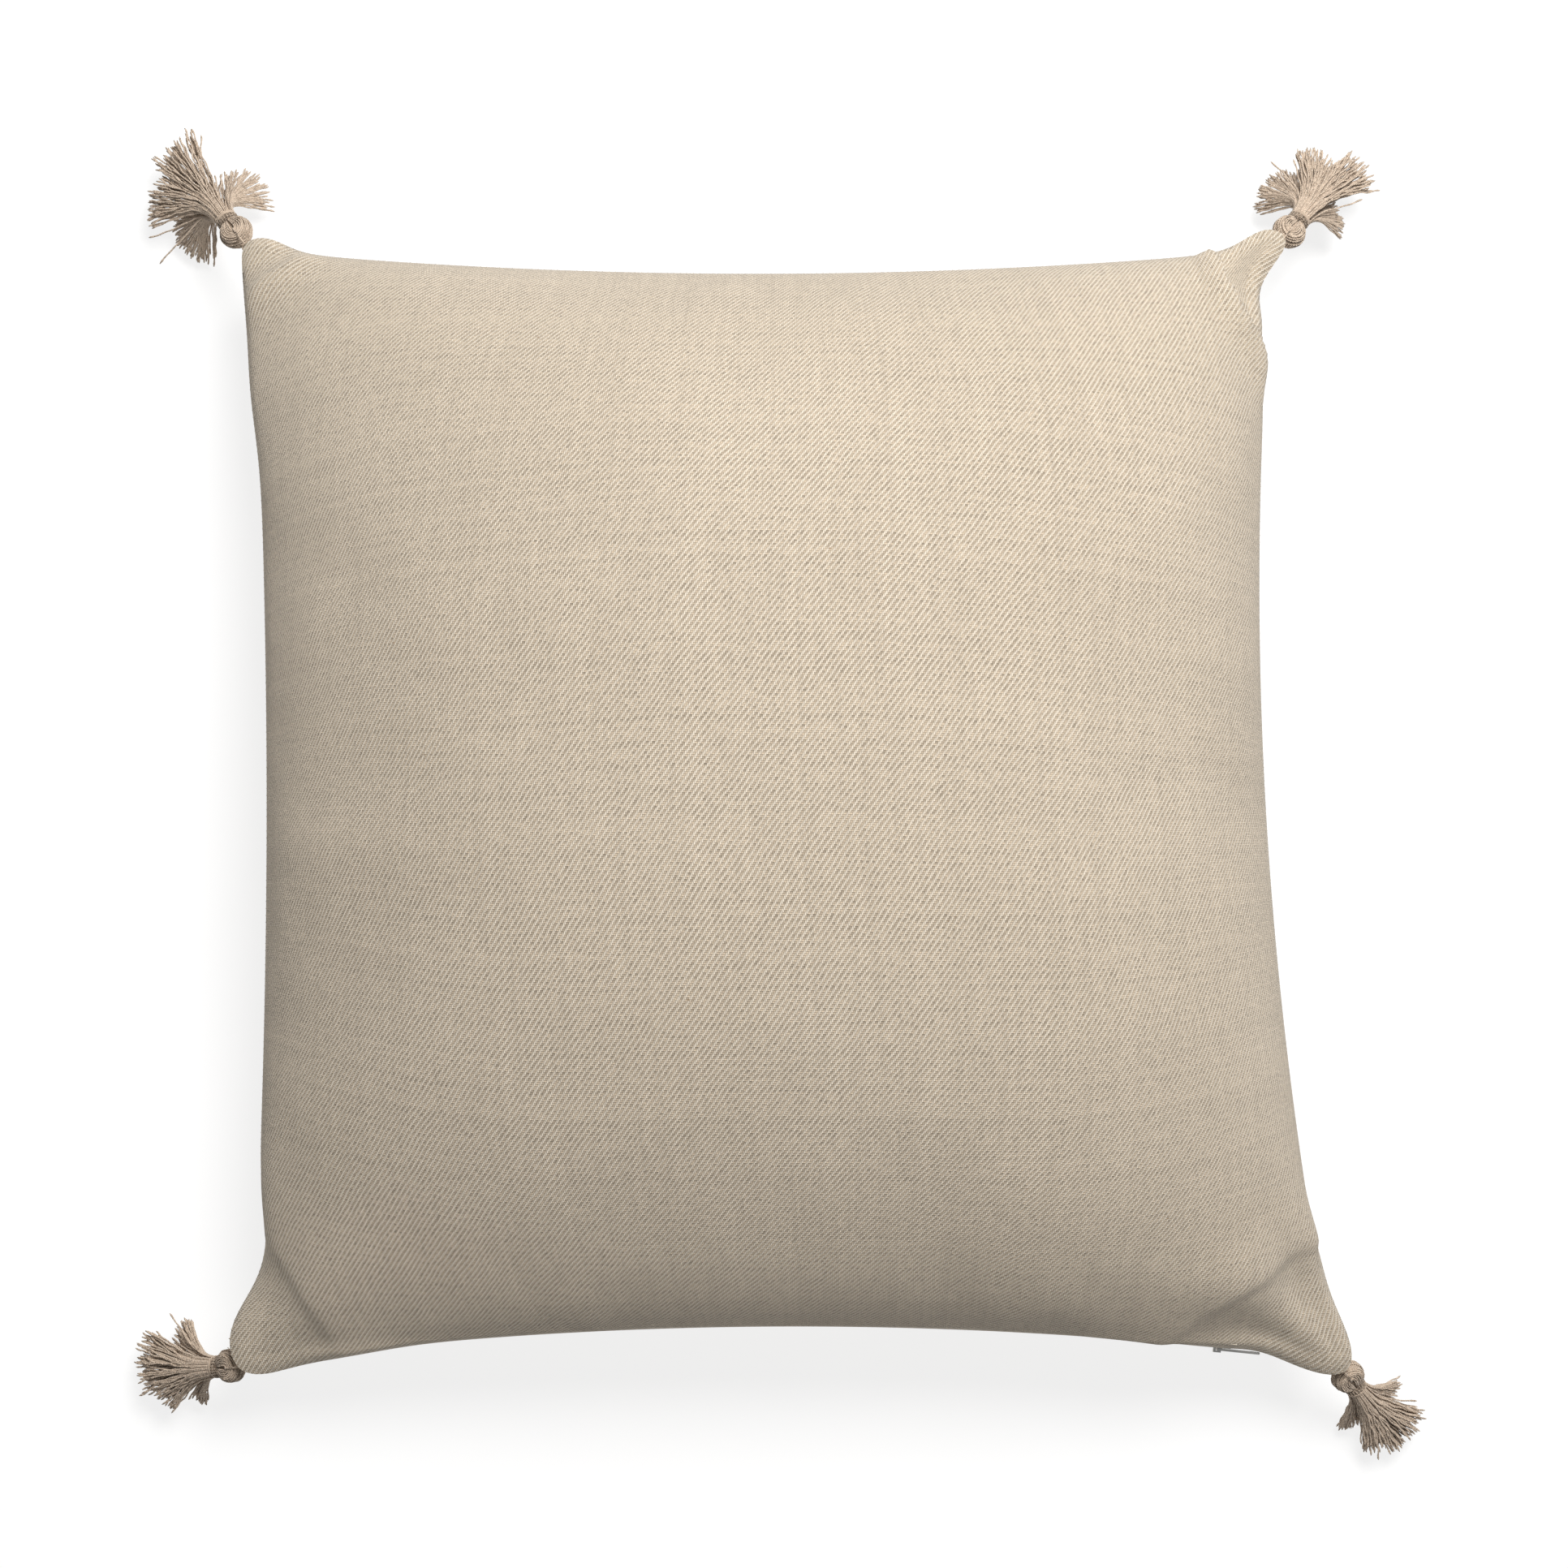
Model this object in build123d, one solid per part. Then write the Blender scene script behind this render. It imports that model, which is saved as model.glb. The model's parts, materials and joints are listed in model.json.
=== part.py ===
"""Square floor cushion with a tassel at each corner, lying flat on a floor.

The cover is two woven panels joined by one seam that runs round the knife edge. Inside are a
separate insert and its loose filling. A zip closes the front edge, and a yarn tassel hangs from
each corner on a short loop.

Frame: millimetres, +Z up, origin on the floor under the middle of the cushion. +X is the right
side and +Y the back; the zip is in the front edge, at -Y.
"""

import math
import os

from build123d import *

# ---- Cushion: where the seam corners lie, and how the filled form sits -----------------------
HALF_SPAN_X = 285.0  # nominal half distance between seam corners, left to right
HALF_SPAN_Y = 300.5  # the same, front to back
BACK_NARROWING = 17.0  # the back right corner lies this much further in
FRONT_WIDENING = 17.0  # the front right corner lies this much further out
PULL_IN_LEFT = 13.0  # how far each side curves in between its corners
PULL_IN_RIGHT = 25.0
PULL_IN_BACK = 17.0
PULL_IN_FRONT = 24.0
SEAM_HEIGHT = 88.0  # the seam above the floor, away from the corners
CORNER_DROOP = 34.0  # the corners hang this much lower
CROWN_HEIGHT = 112.0  # top of the filled form above the seam
BELLY_DEPTH = 112.0  # the underside below the seam, before the floor flattens it
SHOULDER = 0.22  # extra fullness towards the sides
CROWN_SKEW = 0.10  # the filling is heavier towards the right

# ---- Fabric, seams and insert ---------------------------------------------------------------
FABRIC_THICKNESS = 1.2  # cover cloth
SEAM_GAP = 0.1  # half the clearance between the two panels
STITCH_INSET = 0.35  # seam thread, inside the seam edge
THREAD_WIDTH = 0.5
THREAD_REACH = 1.3  # how far the stitches reach into each panel
CASING_THICKNESS = 0.6  # insert cloth
INSERT_ZIP_GAP = 1.9  # insert's edge to the back of the zip's slider
INSERT_CROWN_GAP = 0.5  # insert to the cover, top and bottom
FILLING_GAP = 0.3

# ---- Zip ------------------------------------------------------------------------------------
ZIP_SHARE = 0.80  # share of the front edge that opens
SEWN_SHARE = 0.93  # beyond this share the front edge is closed again
ZIP_SLOT_CLEARANCE = 0.6  # slider to each edge of the opening
TAPE_HALF = 12.0
TAPE_THICKNESS = 0.6
TAPE_CLEARANCE = 2.2  # tape to the inside of the cover at its edge
COIL_HEIGHT = 2.0
COIL_THICKNESS = 2.2
CHAIN_GAP = 0.6  # half the gap between the coils, where the slider's divider runs
SLIDER_LENGTH = 9.0
SLIDER_SIDE_GAP = 0.4  # the coils' far edges to the slider's lips
SLIDER_PLATE = 1.0
SLIDER_LIP = 0.6
SLIDER_CLEARANCE = 0.3
PULL_EYE_RADIUS = 0.9
PULL_LENGTH = 24.0
PULL_WIDTH = 4.6
PULL_THICKNESS = 1.0
STOP_LENGTH = 2.0
SLIDER_END_GAP = 0.5

# ---- Tassels --------------------------------------------------------------------------------
LOOP_CLEARANCE = 0.6  # between the corner's thread and the head
LOOP_CORD = 0.7  # cord radius
LOOP_SIDE_GAP = 0.9  # between the cord and the flat sides of the head
LOOP_BEND = 1.5  # radius of the cord's turn beside the eye
LOOP_CROWN = 5.0  # radius of its turn towards the corner
TACK_CORD = 0.4  # radius of the thread that holds the loop in the corner
TACK_CLEARANCE = 1.7  # the loop's cord to that thread's ring
TACK_BITE = 3.0  # how far its stitches reach into the corner
HEAD_RADIUS = 9.0
HEAD_THICKNESS = 12.0
EYE_CLEARANCE = 0.9  # the loop's cord to the eye through the head
NECK_RADIUS = 5.0
BINDING_CORD = 1.4
BINDING_TURNS = 3
BINDING_CLEARANCE = 0.4  # between the head's ball and the first turn of the binding
SKIRT_CLEARANCE = 0.3  # between the last turn and the skirt
SKIRT_LENGTH = 42.0
SKIRT_END_X = 20.0  # half width and half depth of the spread yarn ends
SKIRT_END_Y = 21.0

# Azimuth is anticlockwise from +X; dip is how far the loop and tassel point below level.
TASSELS = {
    "back_left": {"azimuth": 128.0, "dip": 28.0},
    "back_right": {"azimuth": 50.0, "dip": 28.0},
    "front_left": {"azimuth": 190.0, "dip": 36.0},
    "front_right": {"azimuth": -52.0, "dip": 36.0},
}

SURFACE_POINTS = 17
CURVED_POINTS = 33
SURFACE_TOLERANCE = 0.005


# ---- The filled form ------------------------------------------------------------------------
def seam_corner(side_x, side_y, inset=0.0):
    """Plan position of a seam corner, or of the same corner moved in from both sides."""
    lay = 0.0
    if side_x > 0:
        lay = -BACK_NARROWING if side_y > 0 else FRONT_WIDENING
    return (side_x * (HALF_SPAN_X - inset) + lay, side_y * (HALF_SPAN_Y - inset))


def plan_point(u, v, inset=0.0):
    """Plan position at u, v from -1 to 1: straight between the corners, then pulled in."""
    x = y = 0.0
    for side_x in (-1, 1):
        for side_y in (-1, 1):
            share = (1 + side_x * u) * (1 + side_y * v) / 4
            corner = seam_corner(side_x, side_y, inset)
            x += share * corner[0]
            y += share * corner[1]
    x += (PULL_IN_LEFT * (1 - u) - PULL_IN_RIGHT * (1 + u)) / 2 * (1 - v * v)
    y += (PULL_IN_FRONT * (1 - v) - PULL_IN_BACK * (1 + v)) / 2 * (1 - u * u)
    return x, y


def seam_z(x, y):
    """Height of the seam surface, which droops towards the corners."""
    return SEAM_HEIGHT - CORNER_DROOP * (x / HALF_SPAN_X) ** 2 * (y / HALF_SPAN_Y) ** 2


def fullness(u, v):
    """Height of the filled form, 1 in the middle and 0 along the seam."""
    rise = math.sqrt(max(0.0, (1 - u * u) * (1 - v * v)))
    shoulder = (1 + SHOULDER * u * u) * (1 + SHOULDER * v * v)
    return rise * shoulder * (1 + CROWN_SKEW * u)


def zip_parting(u, v):
    """How far each panel's front edge stands off the seam line, to leave room for the zip."""
    share = min(1.0, max(0.0, (SEWN_SHARE - abs(u)) / (SEWN_SHARE - ZIP_SHARE - 0.02)))
    return zip_slot_half() * share * share * (3 - 2 * share) * ((1 - v) / 2) ** 6


def form_face(side, height, inset, parted=False):
    """Curved face over the whole plan; side is 1 for the top half and -1 for the underside."""
    count = CURVED_POINTS if parted else SURFACE_POINTS
    steps = [math.sin(math.pi / 2 * (2 * i / (count - 1) - 1)) for i in range(count)]
    rows = []
    for u in steps:
        row = []
        for v in steps:
            x, y = plan_point(u, v, inset)
            rise = SEAM_GAP + height * fullness(u, v) + (zip_parting(u, v) if parted else 0.0)
            row.append((x, y, seam_z(x, y) + side * rise))
        rows.append(row)
    return Face.make_surface_from_array_of_points(rows, tol=SURFACE_TOLERANCE)


def flattened(face, level):
    """The part of a curved face above a level, and the flat face that closes it there."""
    depth = 2 * BELLY_DEPTH
    kept = face - Pos(0, 0, level - depth / 2) * Box(4 * HALF_SPAN_X, 4 * HALF_SPAN_Y, depth)
    rim = [edge for edge in kept.edges() if abs(edge.center().Z - level) < 1e-3]
    return [kept, Face(Wire(rim))]


def joined_rims(first, second):
    """Narrow faces from the outline of one curved face to the same outline of another."""
    faces = []
    for edge in first.edges():
        partner = min(second.edges(), key=lambda other: (other.center() - edge.center()).length)
        faces.append(Face.make_surface_from_curves(edge, partner))
    return faces


def sewn(faces):
    """Solid inside a closed set of faces."""
    return Solid(Shell(Face.sew_faces(faces)[0]))


def half_shell(side, plan_inset, crown_inset, thickness, parted=False):
    """One cloth half of a form, on one side of the seam."""
    height = (CROWN_HEIGHT if side > 0 else BELLY_DEPTH) - crown_inset
    outside = form_face(side, height, plan_inset, parted)
    inside = form_face(side, height - thickness, plan_inset + thickness, parted)
    faces = joined_rims(outside, inside)
    if side > 0:
        return sewn(faces + [outside, inside])
    return sewn(faces + flattened(outside, crown_inset) + flattened(inside, crown_inset + thickness))


def filling():
    """The loose filling, as it lies inside the insert."""
    plan_inset = insert_plan_inset() + CASING_THICKNESS + FILLING_GAP
    crown_inset = insert_crown_inset() + CASING_THICKNESS + FILLING_GAP
    top = form_face(1, CROWN_HEIGHT - crown_inset, plan_inset)
    bottom = form_face(-1, BELLY_DEPTH - crown_inset, plan_inset)
    return sewn([top] + flattened(bottom, crown_inset) + joined_rims(top, bottom))


def insert_plan_inset():
    """How far inside the seam the insert's own edge lies, clear of the zip's slider."""
    return tape_set_back() + TAPE_THICKNESS + SLIDER_CLEARANCE + SLIDER_PLATE + INSERT_ZIP_GAP


def insert_crown_inset():
    """How far under the cover's top the insert's top lies."""
    return FABRIC_THICKNESS + INSERT_CROWN_GAP


def seam_side(start, end, inset, lift):
    """Curve along one side of the seam, from corner start to corner end."""
    points = []
    for i in range(9):
        share = i / 8
        u = start[0] + (end[0] - start[0]) * share
        v = start[1] + (end[1] - start[1]) * share
        x, y = plan_point(u, v, inset)
        points.append((x, y, seam_z(x, y) + lift))
    return Edge.make_spline([Vector(*point) for point in points])


def seam_thread():
    """The line of stitches that joins the two panels edge to edge, on the three sewn sides."""
    inner = STITCH_INSET + THREAD_WIDTH
    ring = [(STITCH_INSET, -THREAD_REACH), (STITCH_INSET, THREAD_REACH), (inner, THREAD_REACH), (inner, -THREAD_REACH)]
    corners = [(-1, -1), (-1, 1), (1, 1), (1, -1)]
    faces = []
    for start, end in zip(corners, corners[1:]):
        curves = [seam_side(start, end, *place) for place in ring]
        for i in range(4):
            faces.append(Face.make_surface_from_curves(curves[i], curves[(i + 1) % 4]))
    for corner in (corners[0], corners[-1]):
        points = []
        for inset, lift in ring:
            x, y = plan_point(*corner, inset)
            points.append(Vector(x, y, seam_z(x, y) + lift))
        faces.append(Face.make_surface(Wire([Line(points[i], points[(i + 1) % 4]) for i in range(4)]).edges()))
    return sewn(faces)


# ---- Zip ------------------------------------------------------------------------------------
def front_seam_point(u):
    """Point on the front edge of the seam, u from -1 to 1."""
    x, y = plan_point(u, -1)
    return Vector(x, y, seam_z(x, y))


def zip_line():
    """The zip's arc along the front edge: centre, axis, section plane at its middle, half angle."""
    ends = front_seam_point(-ZIP_SHARE), front_seam_point(ZIP_SHARE)
    middle = front_seam_point(0)
    arc = Edge.make_three_point_arc(ends[0], middle, ends[1])
    centre = arc.arc_center
    axis = (ends[0] - centre).cross(ends[1] - centre).normalized()
    half_angle = (ends[0] - centre).get_angle(ends[1] - centre) / 2
    along = (ends[1] - ends[0]).normalized()
    outward = along.cross(Vector(0, 0, 1)).normalized()
    section = Plane(origin=arc @ 0.5, x_dir=outward, z_dir=-along)
    return centre, Axis(centre, axis), section, half_angle


def zip_bar(outward, up, start=-1.0, end=1.0):
    """Bar along the zip with a rectangular section, outward and up each (low, high) millimetres.

    start and end are shares of the zip's half length.
    """
    _, axis, section, half_angle = zip_line()
    width, height = outward[1] - outward[0], up[1] - up[0]
    centre = ((outward[0] + outward[1]) / 2, (up[0] + up[1]) / 2)
    profile = section * Pos(*centre) * Rectangle(width, height)
    bar = revolve(profile, axis, (end - start) * half_angle)
    return bar.rotate(axis, start * half_angle)


def zip_share_of(length):
    """A length along the zip as a share of its half length."""
    centre, _, section, half_angle = zip_line()
    radius = (section.origin - centre).length
    return length / (radius * math.radians(half_angle))


def tape_set_back():
    """How far the tape's front face lies behind the seam edge."""
    return FABRIC_THICKNESS + TAPE_CLEARANCE


def coil_front():
    """Outward place of the coils' front face; the seam edge is 0."""
    return -tape_set_back() + COIL_THICKNESS


def slider_half_height():
    """Half height of the slider, which holds both coils between its lips."""
    return CHAIN_GAP + COIL_HEIGHT + SLIDER_SIDE_GAP + SLIDER_LIP


def zip_slot_half():
    """Half height of the opening between the two panels' edges."""
    return slider_half_height() + ZIP_SLOT_CLEARANCE


def slider_span():
    """Where the slider stands on the closed zip, as shares of the half length."""
    end = 1 - zip_share_of(STOP_LENGTH + SLIDER_END_GAP)
    return end - zip_share_of(SLIDER_LENGTH), end


def zip_tape(side):
    """One cloth tape, behind the edge of its panel."""
    up = sorted((side * CHAIN_GAP, side * TAPE_HALF))
    return zip_bar((-tape_set_back() - TAPE_THICKNESS, -tape_set_back()), up)


def zip_coil(side):
    """One row of coil teeth, on the edge of its tape."""
    up = sorted((side * CHAIN_GAP, side * (CHAIN_GAP + COIL_HEIGHT)))
    return zip_bar((-tape_set_back(), coil_front()), up)


def zip_stop(end):
    """Metal clip across the slot at one end of the zip, in front of the coils."""
    low = coil_front() + SLIDER_CLEARANCE
    span = (1 - zip_share_of(STOP_LENGTH), 1) if end > 0 else (-1, -1 + zip_share_of(STOP_LENGTH))
    top = CHAIN_GAP + COIL_HEIGHT
    plate = zip_bar((coil_front(), low + SLIDER_PLATE), (-top, top), *span)
    return plate


def zip_slider():
    """Slider: a plate each side of the chain, joined by a divider, with a bridge for the pull."""
    span = slider_span()
    face = coil_front() + SLIDER_CLEARANCE
    back = -tape_set_back() - TAPE_THICKNESS - SLIDER_CLEARANCE
    height = (-slider_half_height(), slider_half_height())
    body = zip_bar((face, face + SLIDER_PLATE), height, *span)
    body += zip_bar((back - SLIDER_PLATE, back), height, *span)
    divider_end = span[1] - (span[1] - span[0]) * 0.6
    divider = (SLIDER_CLEARANCE - CHAIN_GAP, CHAIN_GAP - SLIDER_CLEARANCE)
    body += zip_bar((back, face), divider, span[0], divider_end)
    for side in (-1, 1):
        lip = sorted((side * slider_half_height(), side * (slider_half_height() - SLIDER_LIP)))
        body += zip_bar((-tape_set_back() + SLIDER_CLEARANCE + 1.0, face), lip, *span)
    bridge_high = face + SLIDER_PLATE + 2 * PULL_EYE_RADIUS + PULL_THICKNESS
    middle = (span[0] + span[1]) / 2
    reach = zip_share_of(2.2)
    bridge = zip_bar((face + SLIDER_PLATE, bridge_high), (-0.8, 0.8), middle - reach, middle + reach)
    return body + (bridge - pull_pin(PULL_EYE_RADIUS))


def pull_hinge():
    """Centre of the pull's hinge and its axis, which runs across the zip."""
    _, axis, section, half_angle = zip_line()
    span = slider_span()
    outward = coil_front() + SLIDER_CLEARANCE + SLIDER_PLATE + PULL_EYE_RADIUS + 0.2
    mark = (section * Pos(outward, 0, 0) * Sphere(0.1)).rotate(axis, (span[0] + span[1]) / 2 * half_angle)
    top = (section * Pos(outward, 1, 0) * Sphere(0.1)).rotate(axis, (span[0] + span[1]) / 2 * half_angle)
    return mark.center(), (top.center() - mark.center()).normalized()


def pull_pin(radius):
    """Round bar along the pull's hinge, as long as the pull is wide."""
    centre, across = pull_hinge()
    return Plane(centre, z_dir=across) * Cylinder(radius, PULL_WIDTH)


def zip_pull():
    """Pull tab: a flat tongue with a wire eye through the slider's bridge, lying along the zip."""
    _, axis, section, half_angle = zip_line()
    span = slider_span()
    centre, across = pull_hinge()
    angle = (span[0] + span[1]) / 2 * half_angle
    along = Vector(-section.z_dir).rotate(Axis((0, 0, 0), axis.direction), angle)
    flat = Plane(centre, x_dir=along, z_dir=across.cross(along) * -1)
    tongue_start = 3.2
    tongue = flat * Pos((tongue_start + PULL_LENGTH) / 2, 0, 0) * Box(
        PULL_LENGTH - tongue_start, PULL_WIDTH, PULL_THICKNESS
    )
    tongue = fillet(tongue.edges().filter_by(Axis((0, 0, 0), flat.z_dir)), PULL_WIDTH * 0.3)
    hole = flat * Pos(PULL_LENGTH - 4.0, 0, 0) * Cylinder(1.1, 2 * PULL_THICKNESS)
    arm_width = 0.9
    body = tongue - hole + pull_pin(PULL_EYE_RADIUS - SLIDER_CLEARANCE)
    for side in (-1, 1):
        arm = Pos(tongue_start / 2 + 0.3, side * (PULL_WIDTH - arm_width) / 2, 0) * Box(
            tongue_start + 1.2, arm_width, PULL_THICKNESS
        )
        body += flat * arm
    return body


# ---- Tassels --------------------------------------------------------------------------------
def corner_point(name):
    """Where a tassel's loop leaves the seam corner."""
    side_x = 1 if name.endswith("right") else -1
    side_y = 1 if name.startswith("back") else -1
    x, y = seam_corner(side_x, side_y)
    step = tack_eye() / math.hypot(1, 1)
    return Vector(x + side_x * step, y + side_y * step, seam_z(x, y))


def tack_eye():
    """Inner radius of the corner's thread ring."""
    return LOOP_CORD + TACK_CLEARANCE


def head_eye():
    """Radius of the eye through the head."""
    return LOOP_CORD + EYE_CLEARANCE


def loop_half_width():
    """Half width of the loop, from the middle of its cord, which passes each side of the head."""
    return HEAD_THICKNESS / 2 + LOOP_CORD + LOOP_SIDE_GAP


def neck_drop():
    """Distance from the eye to the middle of the binding, which starts just below the ball."""
    ball_edge = math.sqrt(HEAD_RADIUS**2 - (NECK_RADIUS + BINDING_CORD / 2) ** 2)
    return ball_edge + BINDING_CLEARANCE + BINDING_TURNS * BINDING_CORD / 2


def skirt_drop():
    """Distance from the eye to the top of the skirt."""
    return neck_drop() + BINDING_TURNS * BINDING_CORD / 2 + SKIRT_CLEARANCE


def loop_drop():
    """Distance from the corner's thread ring to the eye of the tassel's head."""
    return tack_eye() + 2 * TACK_CORD + HEAD_RADIUS + LOOP_CLEARANCE


def loop_place(name):
    """Location at the corner whose -Z points along the loop and tassel, with Y level."""
    pose = TASSELS[name]
    return Location(corner_point(name)) * Rot(0, 0, pose["azimuth"]) * Rot(0, pose["dip"] - 90, 0)


def tassel_place(name):
    """Location of a tassel, with its eye at the origin and its skirt along -Z."""
    return loop_place(name) * Pos(0, 0, -loop_drop())


def corner_tack(name):
    """Level ring of thread that stands out of the seam corner, and the stitches that hold it."""
    side_x = 1 if name.endswith("right") else -1
    side_y = 1 if name.startswith("back") else -1
    ring_radius = tack_eye() + TACK_CORD
    outward = math.degrees(math.atan2(side_y, side_x))
    place = Location(corner_point(name)) * Rot(0, 0, outward)
    stitch_length = TACK_BITE + TACK_CORD
    stitch = Pos(-ring_radius - stitch_length / 2, 0, 0) * Rot(0, 90, 0) * Cylinder(TACK_CORD, stitch_length)
    return place * (Torus(ring_radius, TACK_CORD) + stitch)


def turn(centre_x, centre_z, radius, start):
    """Quarter turn of the loop's cord, from a start angle in degrees, clockwise seen from the front."""
    points = []
    for angle in (start, start - 45, start - 90):
        reach = math.radians(angle)
        points.append((centre_x + radius * math.cos(reach), 0, centre_z + radius * math.sin(reach)))
    return ThreePointArc(*points)


def hanging_loop(name):
    """Closed cord ring through the corner's thread, round the head and through its eye."""
    side, low = loop_half_width(), -loop_drop()
    crown, bend = side - LOOP_CROWN, side - LOOP_BEND
    path = Wire(
        [
            Line((-crown, 0, 0), (crown, 0, 0)),
            turn(crown, -LOOP_CROWN, LOOP_CROWN, 90),
            Line((side, 0, -LOOP_CROWN), (side, 0, low + LOOP_BEND)),
            turn(bend, low + LOOP_BEND, LOOP_BEND, 0),
            Line((bend, 0, low), (-bend, 0, low)),
            turn(-bend, low + LOOP_BEND, LOOP_BEND, -90),
            Line((-side, 0, low + LOOP_BEND), (-side, 0, -LOOP_CROWN)),
            turn(-crown, -LOOP_CROWN, LOOP_CROWN, 180),
        ]
    )
    section = Plane(origin=(-crown, 0, 0), x_dir=(0, 1, 0), z_dir=(1, 0, 0)) * Circle(LOOP_CORD)
    return loop_place(name) * sweep(section, path)


def tassel_head(name):
    """Folded yarn above the binding: a flattened ball with an eye across it and a short neck."""
    slab = Box(HEAD_THICKNESS, 4 * HEAD_RADIUS, 4 * HEAD_RADIUS)
    ball = Sphere(HEAD_RADIUS) & slab
    neck = Pos(0, 0, -skirt_drop() / 2) * Cylinder(NECK_RADIUS, skirt_drop())
    eye = Rot(0, 90, 0) * Cylinder(head_eye(), 2 * HEAD_THICKNESS)
    return tassel_place(name) * (ball + neck - eye)


def tassel_binding(name):
    """Turns of cord wound tight round the neck."""
    turns = []
    for i in range(BINDING_TURNS):
        drop = (i - (BINDING_TURNS - 1) / 2) * BINDING_CORD
        wound = Torus(NECK_RADIUS + BINDING_CORD / 2, BINDING_CORD / 2)
        turns.append(Pos(0, 0, -neck_drop() - drop) * wound)
    sleeve = Cylinder(NECK_RADIUS + BINDING_CORD / 2, BINDING_CORD * (BINDING_TURNS - 1))
    sleeve -= Cylinder(NECK_RADIUS, BINDING_CORD * BINDING_TURNS)
    wrap = Pos(0, 0, -neck_drop()) * sleeve
    for wound in turns:
        wrap += wound - Pos(0, 0, -neck_drop()) * Cylinder(NECK_RADIUS, 4 * BINDING_CORD)
    return tassel_place(name) * wrap


def tassel_skirt(name):
    """The spread yarn below the binding, flattened where it lies on the floor."""
    sections = []
    for share in (0.0, 0.25, 0.6, 1.0):
        spread = share**0.8
        half_x = NECK_RADIUS + (SKIRT_END_X - NECK_RADIUS) * spread
        half_y = NECK_RADIUS + (SKIRT_END_Y - NECK_RADIUS) * spread
        sections.append(Pos(0, 0, -skirt_drop() - share * SKIRT_LENGTH) * Ellipse(half_y, half_x, rotation=90))
    level = Pos(0, 0, 2 * SKIRT_LENGTH) * Box(6 * HALF_SPAN_X, 6 * HALF_SPAN_Y, 4 * SKIRT_LENGTH)
    return (tassel_place(name) * loft(sections)) & level


# ---- Assembly -------------------------------------------------------------------------------
def cover_nodes():
    """The cover's two panels and the thread that joins them."""
    panel = {"plan_inset": 0.0, "crown_inset": 0.0, "thickness": FABRIC_THICKNESS, "parted": True}
    return {
        "cover_top_panel": half_shell(1, **panel),
        "cover_bottom_panel": half_shell(-1, **panel),
        "cover_seam_thread": seam_thread(),
    }


def insert_nodes():
    """The insert's two cloth halves and its filling."""
    casing = {
        "plan_inset": insert_plan_inset(),
        "crown_inset": insert_crown_inset(),
        "thickness": CASING_THICKNESS,
    }
    return {
        "insert_top_casing": half_shell(1, **casing),
        "insert_bottom_casing": half_shell(-1, **casing),
        "insert_filling": filling(),
    }


def zip_nodes():
    """The zip, closed, with its slider at the right end."""
    return {
        "zip_tape_upper": zip_tape(1),
        "zip_tape_lower": zip_tape(-1),
        "zip_coil_upper": zip_coil(1),
        "zip_coil_lower": zip_coil(-1),
        "zip_stop_left": zip_stop(-1),
        "zip_stop_right": zip_stop(1),
        "zip_slider": zip_slider(),
        "zip_pull": zip_pull(),
    }


def tassel_nodes():
    """The five pieces of each corner's tassel."""
    nodes = {}
    for name in TASSELS:
        nodes[f"corner_tack_{name}"] = corner_tack(name)
        nodes[f"hanging_loop_{name}"] = hanging_loop(name)
        nodes[f"tassel_head_{name}"] = tassel_head(name)
        nodes[f"tassel_binding_{name}"] = tassel_binding(name)
        nodes[f"tassel_skirt_{name}"] = tassel_skirt(name)
    return nodes


def print_joint_places():
    """Prints the axes and centres that the pieces move about, in metres."""
    centre, axis, section, half_angle = zip_line()
    span = slider_span()
    travel = (span[1] - (-1 + zip_share_of(STOP_LENGTH + SLIDER_END_GAP + SLIDER_LENGTH))) * half_angle
    print("zip_travel centre", [round(c / 1000, 6) for c in centre], "axis", [round(c, 6) for c in axis.direction])
    print("zip_travel degrees", round(travel, 3), "radius", round((section.origin - centre).length, 2))
    hinge, across = pull_hinge()
    print("pull centre", [round(c / 1000, 6) for c in hinge], "axis", [round(c, 6) for c in across])
    for name in TASSELS:
        corner, tassel = loop_place(name), tassel_place(name)
        level = Plane(corner).y_dir
        across = Plane(tassel).x_dir
        print(name, "corner", [round(c / 1000, 6) for c in corner.position], "level", [round(c, 6) for c in level])
        print(name, "eye", [round(c / 1000, 6) for c in tassel.position], "across", [round(c, 6) for c in across])


def main():
    """Builds every piece and writes one STEP file for each."""
    os.makedirs("parts", exist_ok=True)
    nodes = {**cover_nodes(), **insert_nodes(), **zip_nodes(), **tassel_nodes()}
    for name, shape in nodes.items():
        export_step(shape, f"parts/{name}.step")
    print_joint_places()


main()
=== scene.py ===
"""Square linen floor cushion with a yarn tassel at each corner, lying flat on a pale floor."""

import json
import logging
import math
import random
from dataclasses import dataclass, field
from enum import Enum
from typing import Union

import bmesh
import bpy
import numpy as np
from mathutils import Matrix, Vector, noise


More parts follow.
